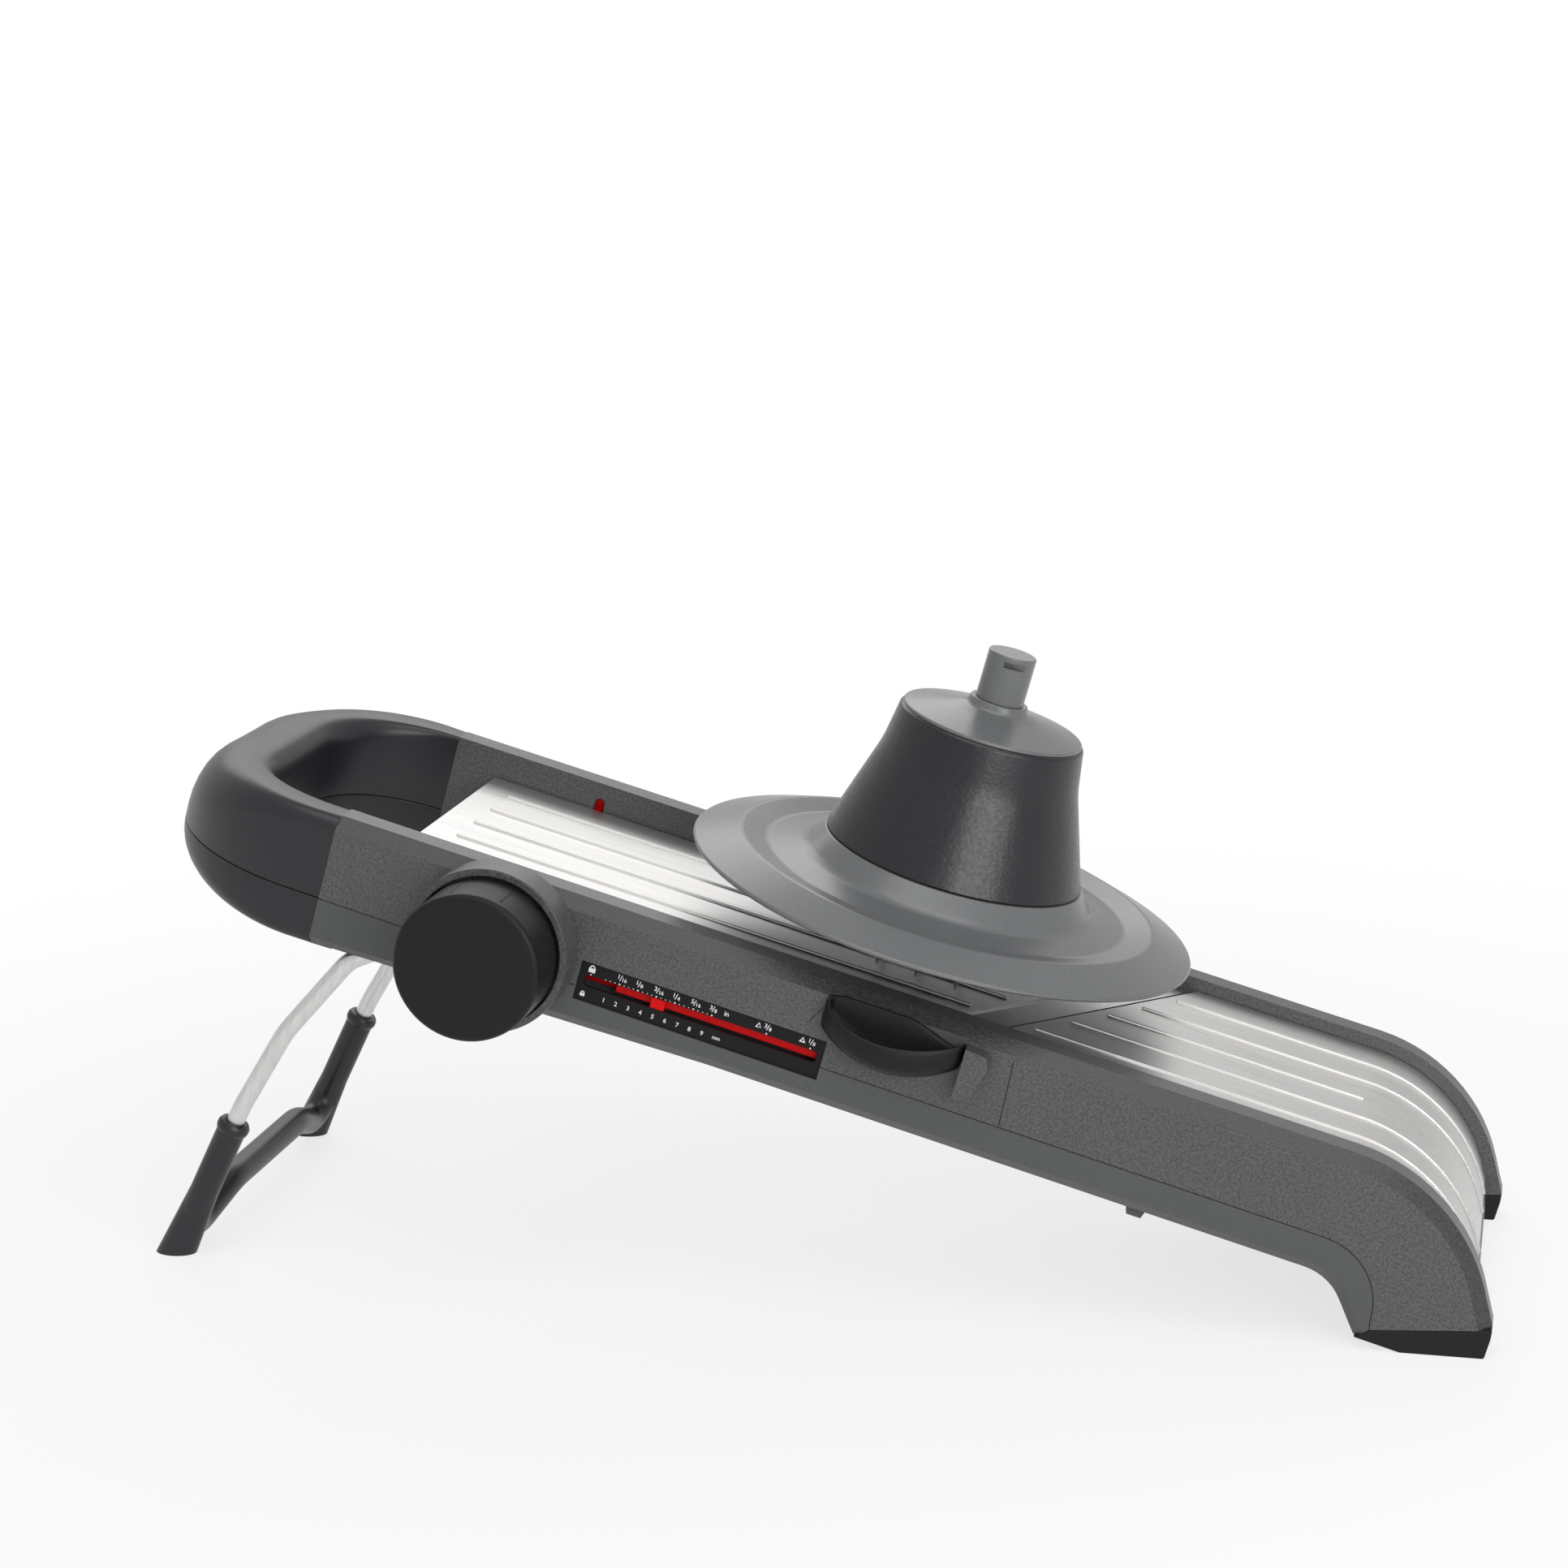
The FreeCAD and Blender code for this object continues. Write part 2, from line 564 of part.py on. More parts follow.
def runway_carrier():
    """Frame under the runway plate that holds its four guide pins."""
    low = "pin_z - pin_radius - beam_skin"
    height = "runway_top - sheet - (%s)" % low
    beams = []
    holes = []
    pins = []
    for name, side in SIDES:
        y_low, y_high = side_range(side, "runway_half - beam_width", "runway_half")
        beams.append(box("runway_start + 1", y_low, low, "front_pin_x + 57 - runway_start",
                         "beam_width", height))
        y_low, y_high = side_range(side, "runway_half - beam_width", "pin_tip")
        for x in ("rear_pin_x", "front_pin_x"):
            for group in (holes, pins):
                group.append(rod(x, y_low, "pin_z", "pin_radius",
                                 "%s - (%s)" % (y_high, y_low), "Y"))
    for x in ("runway_start + 1", "front_pin_x - 28", "front_pin_x + 51"):
        beams.append(box(x, "-runway_half + 1", low, "7", "2 * runway_half - 2", height))
    node("runway_carrier", less(fuse(beams, "carrier_beams"), fuse(holes, "pin_holes")))
    node("runway_pins", fuse(pins, "guide_pins"))


def blade_bed():
    """Oblique beam between the inner walls, under the landing plate's sharp end."""
    body = new_body("blade_bed")
    shifts = ("landing_back + seat_gap", "landing_back + seat_gap + bed_width")
    add(body, "XY_Plane",
        [(oblique(shifts[0], PAN_LOW), PAN_LOW), (oblique(shifts[1], PAN_LOW), PAN_LOW),
         (oblique(shifts[1], PAN_HIGH), PAN_HIGH), (oblique(shifts[0], PAN_HIGH), PAN_HIGH)],
        "landing_z - sheet - bed_depth", "landing_z - sheet")
    node("blade_bed", body)


def scale_panel():
    """Panel with the thickness scale, with the slot that the pointer runs along."""
    body = new_body("scale_panel")
    outside = "-half_width + panel_inset"
    inside = "-half_width + panel_inset + panel_thick"
    add(body, "XZ_Plane", frame4("scale_start", "scale_bottom", "scale_end", "scale_top"),
        outside, inside)
    take(body, "XZ_Plane", frame4("slot_start", "slot_bottom", "slot_end", "slot_top", "1.2"),
         outside + " - 1", inside + " + 1")
    node("scale_panel", body)


def screw_rounds(radius):
    """Plan circles of the four screws."""
    return [(x, "%d * (half_width + pan_half) / 2" % side, radius)
            for x in ("screw_back", "screw_front") for side in (-1, 1)]


def screws():
    """Four screws that hold the lower housing to the upper one."""
    solids = []
    for x, y, radius in screw_rounds("screw_head"):
        solids.append(rod(x, y, "belly_z", radius, "head_height"))
        solids.append(rod(x, y, "belly_z + head_height / 2", "screw_radius",
                          "screw_tip - belly_z - head_height / 2"))
    node("housing_screws", fuse(solids, "screws"))


# ---------------------------------------------------------------- thickness drive

def knob():
    """Knob, its shaft and what turns with it."""
    shaft = new_body("knob_shaft")
    pad_round(shaft, "XZ_Plane", [("knob_x", "knob_z", "shaft_radius")],
              "knob_face + 4", "shaft_end")
    node("knob_shaft", shaft)
    core = new_body("knob_core")
    pad_round(core, "XZ_Plane", [("knob_x", "knob_z", "knob_radius - 2.4")],
              "knob_face + 2.4", "knob_back")
    drill(core, "XZ_Plane", [("knob_x", "knob_z", "shaft_radius")],
          "knob_face + 4", "knob_back + 1")
    node("knob_core", core)
    grip = new_body("knob_grip")
    pad_round(grip, "XZ_Plane", [("knob_x", "knob_z", "knob_radius")], "knob_face", "knob_back")
    drill(grip, "XZ_Plane", [("knob_x", "knob_z", "knob_radius - 2.4")],
          "knob_face + 2.4", "knob_back + 1")
    dress(grip, "Fillet", "1.8", lambda edge: abs(middle_of(edge).y - value("knob_face")) < 0.01)
    node("knob_grip", grip)
    wheel = new_body("detent_wheel")
    reach = ("boss_face + 0.8", "-half_width - 3.4")
    pad_round(wheel, "XZ_Plane", [("0", "0", "wheel_radius")], *reach)
    drill(wheel, "XZ_Plane", [("0", "0", "shaft_radius")], "boss_face", "-half_width - 3")
    notch = take(wheel, "XZ_Plane",
                 [("-1.6", "wheel_radius + 1"), ("-0.5", "wheel_radius - 1.4"),
                  ("0.5", "wheel_radius - 1.4"), ("1.6", "wheel_radius + 1")],
                 "boss_face", "-half_width - 3")
    around(wheel, notch, "wheel_notches")
    node("detent_wheel", wheel, knob_place())


def knob_place():
    return Placement(Vector(value("knob_x"), 0, value("knob_z")), Rotation())


def around(body, feature, count):
    """Repeat a feature round the body's own Y axis."""
    ring = body.newObject("PartDesign::PolarPattern", "ring")
    ring.Originals = [feature]
    ring.Axis = (plane_of(body, "Y_Axis"), [""])
    ring.setExpression("Occurrences", bound(count))
    ring.Angle = 360
    body.Tip = ring
    DOC.recompute()
    return ring


def knob_boss():
    """Round collar on the near side that the knob sits in, with its click spring."""
    body = new_body("knob_boss")
    pad_round(body, "XZ_Plane", [("knob_x", "knob_z", "boss_radius")],
              "boss_face", "-half_width")
    drill(body, "XZ_Plane", [("knob_x", "knob_z", "boss_radius - boss_wall")],
          "boss_face - 1", "-half_width - boss_wall")
    drill(body, "XZ_Plane", [("knob_x", "knob_z", "shaft_radius + 1")],
          "-half_width - boss_wall - 1", "-half_width + 1")
    node("knob_boss", body)
    spring = new_body("click_spring")
    top = "knob_z + wheel_radius + drive_gap"
    add(spring, "XZ_Plane",
        [("knob_x - 12", top + " + 0.6"), ("knob_x - 2", top + " + 0.6"), ("knob_x", top),
         ("knob_x + 2", top + " + 0.6"), ("knob_x + 12", top + " + 0.6"),
         ("knob_x + 12", top + " + 1.2"), ("knob_x + 2", top + " + 1.2"),
         ("knob_x", top + " + 0.7"), ("knob_x - 2", top + " + 1.2"),
         ("knob_x - 12", top + " + 1.2")],
        "-half_width - boss_wall - 6", "-half_width - boss_wall")
    node("click_spring", spring)


def shaft_bushes():
    """Plain bushes in the outer near wall and in both inner walls."""
    rings = []
    bores = []
    spans = (("-half_width", "wall"), ("-pan_half - wall", "wall"), ("pan_half", "wall"))
    for start, length in spans:
        rings.append(rod("knob_x", start, "knob_z", "bush_radius", length, "Y"))
        bores.append(rod("knob_x", start, "knob_z", "shaft_radius + shaft_gap", length, "Y"))
    node("shaft_bushes", less(fuse(rings, "bush_rings"), fuse(bores, "bush_bores")))


def tooth_outline(height, down):
    """A rack tooth on its pitch line: its tip and its root; down is -1 or 1."""
    slope = "tan(20 * 1 deg)"
    tip = "%s + %d * tooth_depth" % (height, down)
    root = "%s - %d * (tooth_depth + 0.25)" % (height, down)
    return tip, root, "tooth_half - tooth_depth * " + slope, \
        "tooth_half + (tooth_depth + 0.25) * " + slope


def pinions():
    """Two equal pinions on the knob's shaft, one in each rail."""
    for name, side in SIDES:
        body = new_body(name + "_pinion")
        y_low, y_high = side_range(side, "pinion_inner", "pinion_outer")
        pad_round(body, "XZ_Plane", [("0", "0", "pinion_pitch - tooth_depth - 0.2")],
                  y_low, y_high)
        tip, root, tip_half, root_half = tooth_outline("pinion_pitch", 1)
        root_low = "pinion_pitch - tooth_depth - 1"
        tooth = add(body, "XZ_Plane",
                    [("-(%s)" % root_half, root_low), (root_half, root_low),
                     (root_half, root), (tip_half, tip), ("-(%s)" % tip_half, tip),
                     ("-(%s)" % root_half, root)], y_low, y_high)
        around(body, tooth, "pinion_teeth")
        drill(body, "XZ_Plane", [("0", "0", "shaft_radius")], y_low + " - 1", y_high + " + 1")
        half_tooth = Rotation(Vector(0, 1, 0), 180 / value("pinion_teeth"))
        place = knob_place() * Placement(Vector(), half_tooth)
        node(name + "_pinion", body, place)


def cam_bars():
    """The two bars in the rails whose ramps set the height of the runway."""
    for name, side in SIDES:
        body = new_body(name + "_cam_bar")
        sheet_range = side_range(side, "cam_inner", "cam_outer")
        rack_range = side_range(side, "cam_outer", "pinion_outer")
        add(body, "XZ_Plane", frame4("cam_start", "cam_bottom", "cam_start + cam_length",
                                     "cam_top"), *sheet_range)
        pitch = "knob_z + pinion_pitch"
        tip, root, tip_half, root_half = tooth_outline(pitch, -1)
        first = "knob_x - travel_on - pinion_pitch"
        last = "knob_x + travel_back + pinion_pitch"
        add(body, "XZ_Plane", frame4(first, root, last, root + " + 3"), *rack_range)
        pace = 2 * math.pi * value("pinion_pitch") / value("pinion_teeth")
        before = int((value("knob_x") - value(first) - 1) / pace)
        after = int((value(last) - value("knob_x") - 1) / pace)
        for step in range(-before, after + 1):
            centre = "knob_x + %d * 2 * pi * pinion_pitch / pinion_teeth" % step
            add(body, "XZ_Plane",
                [("%s - (%s)" % (centre, root_half), root + " + 0.2"),
                 ("%s - (%s)" % (centre, root_half), root),
                 ("%s - (%s)" % (centre, tip_half), tip),
                 ("%s + (%s)" % (centre, tip_half), tip),
                 ("%s + (%s)" % (centre, root_half), root),
                 ("%s + (%s)" % (centre, root_half), root + " + 0.2")], *rack_range)
        gap = "shaft_radius + drive_gap"
        take(body, "XZ_Plane",
             frame4("knob_x - travel_on - %s" % gap.replace("+", "-"), "knob_z - (%s)" % gap,
                    "knob_x + travel_back + " + gap, "knob_z + " + gap, gap + " - 0.1"),
             *sheet_range)
        for pin_x in ("rear_pin_x", "front_pin_x"):
            ramp_slot(body, pin_x, sheet_range)
        if side < 0:
            add(body, "XZ_Plane", frame4("bar_start", "bar_bottom", "bar_end", "bar_top"),
                "-bar_face", "-cam_outer")
            add(body, "XZ_Plane",
                frame4("pointer_x - pointer_width / 2", "bar_bottom - 0.8 * pointer_lift",
                       "pointer_x + pointer_width / 2", "bar_top + pointer_lift"),
                "-half_width + panel_inset", "-bar_face")
        node(name + "_cam_bar", body)


def ramp_slot(body, pin_x, reach):
    """Inclined slot for one guide pin, as long as the knob's whole travel."""
    half = "(pin_radius + pin_gap)"
    ends = (("%s - travel_on" % pin_x, "pin_z - travel_on * ramp_slope", -1),
            ("%s + travel_back" % pin_x, "pin_z + travel_back * ramp_slope", 1))
    corners = []
    for x, z, way in ends:
        for turn in ((1, -1) if way < 0 else (-1, 1)):
            corners.append((
                "%s + %s * %s * (%d - (%d) * ramp_slope)" % (x, half, RAMP_UNIT, way, turn),
                "%s + %s * %s * ((%d) * ramp_slope + %d)" % (z, half, RAMP_UNIT, way, turn),
                half + " - 0.1"))
    take(body, "XZ_Plane", corners, *reach)


# ---------------------------------------------------------------- blade cartridge

def cartridge():
    """Blade, the frame that holds it and the lever that draws it out to the near side."""
    frame = new_body("blade_frame")
    top = "landing_z - blade_thick"
    low = "landing_z - frame_depth"
    add(frame, "XY_Plane", frame4("0.6", "frame_near", "blade_width", "frame_near + 12"),
        low, top)
    add(frame, "XY_Plane", frame4("0.6", "frame_far - 4", "blade_width", "frame_far"), low, top)
    add(frame, "XY_Plane", frame4("blade_width - 5", "frame_near + 6", "blade_width",
                                  "frame_far - 2"), "landing_z - frame_depth + 2", top)
    rivet_x = "blade_width - 2.5"
    rivet_y = ("frame_near + 10.5", "0", "frame_far - 2")
    rivet_low = "landing_z - frame_depth + 2.5"
    drill(frame, "XY_Plane", [(rivet_x, y, "rivet_radius") for y in rivet_y], rivet_low, top)
    node("blade_frame", frame, BLADE_PLACE)
    blade = new_body("slicing_blade")
    add(blade, "XZ_Plane", [("0", "landing_z - blade_thick"), ("blade_width", top),
                            ("blade_width", "landing_z"), ("4", "landing_z")],
        "-blade_half - 4", "frame_far")
    node("slicing_blade", blade, BLADE_PLACE)
    rivets = [rod(rivet_x, y, rivet_low, "rivet_radius", "frame_depth - 2.5 - blade_thick")
              for y in rivet_y]
    node("blade_rivets", fuse(rivets, "rivets"), BLADE_PLACE)
    lever = new_body("blade_lever")
    inner = "-half_width - seat_gap"
    outer = inner + " - lever_out"
    add(lever, "XY_Plane",
        [("lever_x - lever_width / 2", inner), ("lever_x - lever_width / 4", outer, "12"),
         ("lever_x + lever_width / 4", outer, "12"), ("lever_x + lever_width / 2", inner)],
        "lever_top - lever_height", "lever_top")
    pocket = "lever_width / 2 - 2 * lever_wall"
    take(lever, "XY_Plane",
         [("lever_x - " + pocket, inner + " - lever_wall"),
          ("lever_x - lever_width / 5", outer + " + lever_wall", "8"),
          ("lever_x + lever_width / 5", outer + " + lever_wall", "8"),
          ("lever_x + " + pocket, inner + " - lever_wall")],
         "lever_top - lever_height + 4", "lever_top + 1")
    reach = "-half_width - 1.4"
    add(lever, "XY_Plane",
        [on_blade("2", "frame_near"), on_blade("blade_width - 1", "frame_near"),
         (oblique("blade_width - 1", reach), reach), (oblique("2", reach), reach)], low, top)
    node("blade_lever", lever)


def on_blade(along, out):
    """Deck X and Y of a point that is given in the blade's own frame."""
    turn = "(blade_angle * 1 deg)"
    return ("blade_x + (%s) * cos%s + (%s) * sin%s" % (along, turn, out, turn),
            "(%s) * cos%s - (%s) * sin%s" % (out, turn, along, turn))


# ---------------------------------------------------------------- folding leg

def bent_path(points, radii):
    """A wire of straight runs joined by tangent arcs; radii belong to the inner points."""
    edges = []
    here = points[0]
    for i in range(1, len(points) - 1):
        back = (points[i - 1] - points[i]).normalize()
        ahead = (points[i + 1] - points[i]).normalize()
        half = back.getAngle(ahead) / 2
        reach = radii[i - 1] / math.tan(half)
        centre = points[i] + (back + ahead).normalize() * (radii[i - 1] / math.sin(half))
        middle = centre + (points[i] - centre).normalize() * radii[i - 1]
        first = points[i] + back * reach
        last = points[i] + ahead * reach
        edges.append(Part.makeLine(here, first))
        edges.append(Part.Arc(first, middle, last).toShape())
        here = last
    edges.append(Part.makeLine(here, points[-1]))
    return Part.Wire(edges)


def swept(path, radius):
    """A round bar along a path."""
    start = path.OrderedEdges[0]
    across = start.tangentAt(start.FirstParameter)
    circle = Part.makeCircle(radius, start.valueAt(start.FirstParameter), across)
    return path.makePipeShell([Part.Wire(circle)], True, True)


def floor_at(x):
    """Height of the ground in the deck frame, above or below a place on the deck."""
    tilt = math.radians(value("tilt"))
    return (-value("floor_drop") + math.sin(tilt) * x) / math.cos(tilt)


def leg_point(across, above):
    """A point of the straight lower leg: across the deck, and above the ground along it."""
    lean = math.radians(value("leg_lean"))
    foot_x = value("foot_x")
    return Vector(foot_x + above * math.sin(lean), across,
                  floor_at(foot_x) + above * math.cos(lean))


def folding_leg():
    """Bent wire leg, its soft sleeve and the two pins it folds on."""
    half = value("leg_half")
    wire_radius = value("wire_radius")
    sleeve_radius = value("sleeve_radius")
    pivot = Vector(value("leg_x"), -half, value("leg_z"))
    shoulder = Vector(pivot.x - 17.5, -half, pivot.z - 13.5)
    knee = Vector(pivot.x - 32, -half, pivot.z - 43)
    upper = [pivot, shoulder, knee]
    arch = value("arch_height")
    arch_half = value("arch_half")
    top = value("sleeve_length")
    run = upper + [leg_point(-half, top + 6), leg_point(-half, value("wire_low_end") + wire_radius),
                   leg_point(-arch_half, arch)]
    bends = [14, 40, 60, 9, 26]
    mirrored = [Vector(p.x, -p.y, p.z) for p in reversed(run)]
    path = bent_path(run + mirrored, bends + bends[::-1])
    wire = swept(path, wire_radius)
    bosses = []
    bores = []
    pins = []
    across = Vector(0, 1, 0)
    for side in (-1, 1):
        width = 2 * wire_radius
        start = Vector(pivot.x, side * half - width / 2, pivot.z)
        bosses.append(Part.makeCylinder(value("leg_boss"), width, start, across))
        bore = value("leg_pin_radius") + value("shaft_gap")
        bores.append(Part.makeCylinder(bore, width + 2, start - across, across))
        low, high = side_range(side, "pan_half", "half_width - 0.8")
        pins.append(Part.makeCylinder(value("leg_pin_radius"), value(high) - value(low),
                                      Vector(pivot.x, value(low), pivot.z), across))
    wire = wire.fuse(bosses)
    for bore in bores:
        wire = wire.cut(bore)
    leg = DOC.addObject("Part::Feature", "leg_wire_shape")
    leg.Shape = wire.removeSplitter()
    node("leg_wire", leg)
    pin_item = DOC.addObject("Part::Feature", "leg_pin_shape")
    pin_item.Shape = Part.makeCompound(pins)
    node("leg_pins", pin_item)
    cover = [leg_point(-half, top), run[4], run[5]]
    cover += [Vector(p.x, -p.y, p.z) for p in reversed(cover)]
    sleeve = swept(bent_path(cover, [9, 26, 26, 9]), sleeve_radius)
    toes = []
    for side in (-1, 1):
        toes.append(Part.makeLoft([toe_ring(side * half, value("flare_start"), sleeve_radius - 0.6,
                                            sleeve_radius - 0.9),
                                   toe_ring(side * half, -value("flare_end"), value("toe_length") / 2,
                                            sleeve_radius + 0.4)], True))
    sleeve = sleeve.fuse(toes).cut(wire)
    tilt = value("tilt")
    ground = Part.makeBox(600, 400, 60, Vector(-300, -200, -60 - value("floor_drop")))
    ground.rotate(Vector(), Vector(0, 1, 0), -tilt)
    cover_item = DOC.addObject("Part::Feature", "leg_sleeve_shape")
    cover_item.Shape = sleeve.cut(ground)
    node("leg_sleeve", cover_item)


def toe_ring(across, above, half_length, half_width):
    """An oval square to the lower leg, for the flared end of the sleeve."""
    lean = math.radians(value("leg_lean"))
    along = Vector(math.cos(lean), 0, -math.sin(lean))
    centre = leg_point(across, above)
    oval = Part.Ellipse(centre + along * half_length, centre + Vector(0, half_width, 0), centre)
    return Part.Wire(oval.toShape())


# ---------------------------------------------------------------- food holder

HOLDER_PLACE = Placement(Vector(value("holder_x"), 0, 0), Rotation())


def food_holder():
    """Dome with its grip and cap, which rides on the pusher's stem."""
    shell = new_body("holder_shell")
    lift = "rim_z + %s"
    spin(shell, [
        ("rim_radius - 1", "rim_z - 1.2", "0.4"), ("rim_radius", "rim_z - 0.4", "0.5"),
        (("rim_radius - 0.6"), lift % "0.5", "0.8"), ("67", lift % "5.6", "3"),
        ("58", lift % "3.4", "5"), ("46.5", lift % "5.6", "5"),
        ("grip_bottom_radius + 0.2", "grip_bottom_z - 0.2", "0.6"),
        ("grip_bottom_radius - grip_thick", "grip_bottom_z"),
        ("grip_top_radius - grip_thick", "grip_top_z"),
        ("grip_top_radius - grip_thick - holder_wall", "grip_top_z"),
        ("grip_bottom_radius - grip_thick - holder_wall", "grip_bottom_z"),
        ("44", lift % "3.2", "4"), ("58", lift % "1.0", "4"), ("67", lift % "3.1", "3")])
    node("holder_shell", shell, HOLDER_PLACE)
    grip = new_body("holder_grip")
    spin(grip, [("grip_bottom_radius", "grip_bottom_z", "0.5"),
                ("grip_top_radius + 2.2", "grip_top_z - 14", "40"),
                ("grip_top_radius", "grip_top_z", "1.6"),
                ("grip_top_radius - grip_thick", "grip_top_z"),
                ("grip_bottom_radius - grip_thick", "grip_bottom_z")])
    node("holder_grip", grip, HOLDER_PLACE)
    cap = new_body("holder_cap")
    bore = "stem_radius + shaft_gap"
    spin(cap, [(bore, "grip_top_z"), ("grip_top_radius - 0.8", "grip_top_z"),
               ("grip_top_radius - 0.8", "grip_top_z + 0.8", "0.5"),
               ("14", "neck_z - 3.6", "20"), ("neck_radius + 1", "neck_z - 2.4", "1.5"),
               ("neck_radius", "neck_z", "0.6"), (bore, "neck_z")])
    node("holder_cap", cap, HOLDER_PLACE)


def pusher():
    """Plunger: button, stem, round plate and the prongs that bite into the food."""
    button = new_body("plunger_button")
    spin(button, [("0", "neck_z + 0.1"), ("plunger_radius", "neck_z + 0.1"),
                  ("plunger_radius", "neck_z + plunger_height", "0.6"),
                  ("0", "neck_z + plunger_height")])
    take(button, "XZ_Plane",
         frame4("-1", "neck_z + plunger_height - 3.6", "plunger_radius + 1",
                "neck_z + plunger_height - 1.8"), "-plunger_radius - 1", "-plunger_radius + 2.6")
    node("plunger_button", button, HOLDER_PLACE)
    stem = new_body("plunger_stem")
    pad_round(stem, "XY_Plane", [("0", "0", "stem_radius")], "pusher_z + pusher_thick",
              "neck_z + 0.1")
    node("plunger_stem", stem, HOLDER_PLACE)
    plate = new_body("pusher_plate")
    spin(plate, [("0", "pusher_z"), ("pusher_radius", "pusher_z", "0.8"),
                 ("pusher_radius", "pusher_z + pusher_thick", "0.8"),
                 ("0", "pusher_z + pusher_thick")])
    node("pusher_plate", plate, HOLDER_PLACE)
    prongs = []
    for x in ("-13", "0", "13"):
        for y in ("-rib_pitch / 2", "rib_pitch / 2"):
            prongs.append(rod(x, y, "runway_top + 0.2", "prong_radius / 3", "3",
                              kind="Part::Cone", radius2="prong_radius"))
            prongs.append(rod(x, y, "runway_top + 3.2", "prong_radius",
                              "pusher_z - runway_top - 3.2"))
    node("pusher_prongs", fuse(prongs, "prongs"), HOLDER_PLACE)
    helix = DOC.addObject("Part::Helix", "spring_path")
    room = "(grip_top_z - pusher_z - pusher_thick - 2 * spring_wire - 0.4)"
    helix.setExpression("Pitch", bound(room + " / spring_turns"))
    helix.setExpression("Height", bound(room))
    helix.setExpression("Radius", bound("spring_radius"))
    helix.setExpression("Placement.Base.z",
                        bound("pusher_z + pusher_thick + spring_wire + 0.2"))
    circle = DOC.addObject("Part::Circle", "spring_section")
    circle.setExpression("Radius", bound("spring_wire"))
    circle.Placement = Placement(Vector(), Rotation(Vector(1, 0, 0), 90))
    circle.setExpression("Placement.Base.x", bound("spring_radius"))
    circle.setExpression("Placement.Base.z",
                         bound("pusher_z + pusher_thick + spring_wire + 0.2"))
    DOC.recompute()
    coil = DOC.addObject("Part::Sweep", "spring_coil")
    coil.Sections = [circle]
    coil.Spine = (helix, ["Edge%d" % (i + 1) for i in range(len(helix.Shape.Edges))])
    coil.Solid = True
    coil.Frenet = True
    node("holder_spring", coil, HOLDER_PLACE)


# ---------------------------------------------------------------- the whole slicer

def build():
    upper_housing()
    lower_housing()
    handle_grips()
    foot_pads()
    landing_plate()
    blade_bed()
    scale_panel()
    screws()
    knob_boss()
    shaft_bushes()
    knob()
    pinions()
    cam_bars()
    runway_plate()
    runway_carrier()
    cartridge()
    folding_leg()
    food_holder()
    pusher()


def place_and_write():
    """Tilt the slicer onto its feet, put the origin under its middle and write the parts."""
    DOC.recompute()
    tilted = Rotation(Vector(0, 1, 0), value("tilt"))
    whole = FreeCAD.BoundBox()
    for label, item, place in NODES:
        item.Placement = Placement(Vector(), tilted) * place
    DOC.recompute()
    for label, item, place in NODES:
        whole.add(item.Shape.optimalBoundingBox(True, False))
    shift = Vector(-whole.Center.x, -whole.Center.y, value("floor_drop"))
    for label, item, place in NODES:
        item.Placement = Placement(shift, tilted) * place
    DOC.recompute()
    for item in DOC.Objects:
        if "Invalid" in item.State or "Error" in item.State:
            raise ValueError("%s failed: %s" % (item.Name, item.State))
    for label, item, place in NODES:
        if item.Shape.isNull() or not item.Shape.isValid():
            raise ValueError("%s has no valid shape" % label)
    os.makedirs("parts", exist_ok=True)
    for label, item, place in NODES:
        item.Shape.exportStep("parts/%s.step" % label)
    print("shift of the deck frame, mm: %.4f %.4f %.4f" % tuple(shift))
    print("%d sub-parts, box %.1f x %.1f x %.1f" % (
        len(NODES), whole.XLength, whole.YLength, whole.ZLength))


build()
place_and_write()
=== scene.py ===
"""Looks of the mandoline slicer: materials, printed scale, moulded details, light and camera.

Work is done in the deck frame, in millimetres: X runs down the deck from the handle to the
front feet, Y across it, Z square to it, with Z = 0 at the top of the side rails.
"""
import json
import math

import bmesh
import bpy
from mathutils import Euler, Matrix, Vector


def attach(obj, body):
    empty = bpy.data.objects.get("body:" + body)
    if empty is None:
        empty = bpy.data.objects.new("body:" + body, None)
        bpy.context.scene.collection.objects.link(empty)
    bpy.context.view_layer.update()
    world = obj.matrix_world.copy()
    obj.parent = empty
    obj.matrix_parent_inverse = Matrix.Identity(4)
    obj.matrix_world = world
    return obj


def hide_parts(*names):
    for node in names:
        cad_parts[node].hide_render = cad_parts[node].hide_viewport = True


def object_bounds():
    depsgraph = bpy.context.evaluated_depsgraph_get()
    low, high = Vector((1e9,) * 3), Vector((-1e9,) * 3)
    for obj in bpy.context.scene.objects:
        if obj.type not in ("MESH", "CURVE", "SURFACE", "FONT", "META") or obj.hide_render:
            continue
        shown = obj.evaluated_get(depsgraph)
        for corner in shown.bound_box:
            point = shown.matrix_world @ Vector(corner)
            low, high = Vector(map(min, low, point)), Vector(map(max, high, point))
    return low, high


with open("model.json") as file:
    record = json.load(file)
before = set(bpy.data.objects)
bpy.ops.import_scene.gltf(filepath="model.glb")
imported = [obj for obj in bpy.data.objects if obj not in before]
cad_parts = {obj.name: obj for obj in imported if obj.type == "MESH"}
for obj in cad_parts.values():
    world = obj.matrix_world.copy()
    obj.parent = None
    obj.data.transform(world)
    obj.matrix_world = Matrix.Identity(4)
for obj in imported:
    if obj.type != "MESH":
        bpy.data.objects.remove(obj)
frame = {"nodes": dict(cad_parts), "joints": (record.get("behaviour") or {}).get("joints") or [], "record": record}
cad_box = [list(v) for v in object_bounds()]

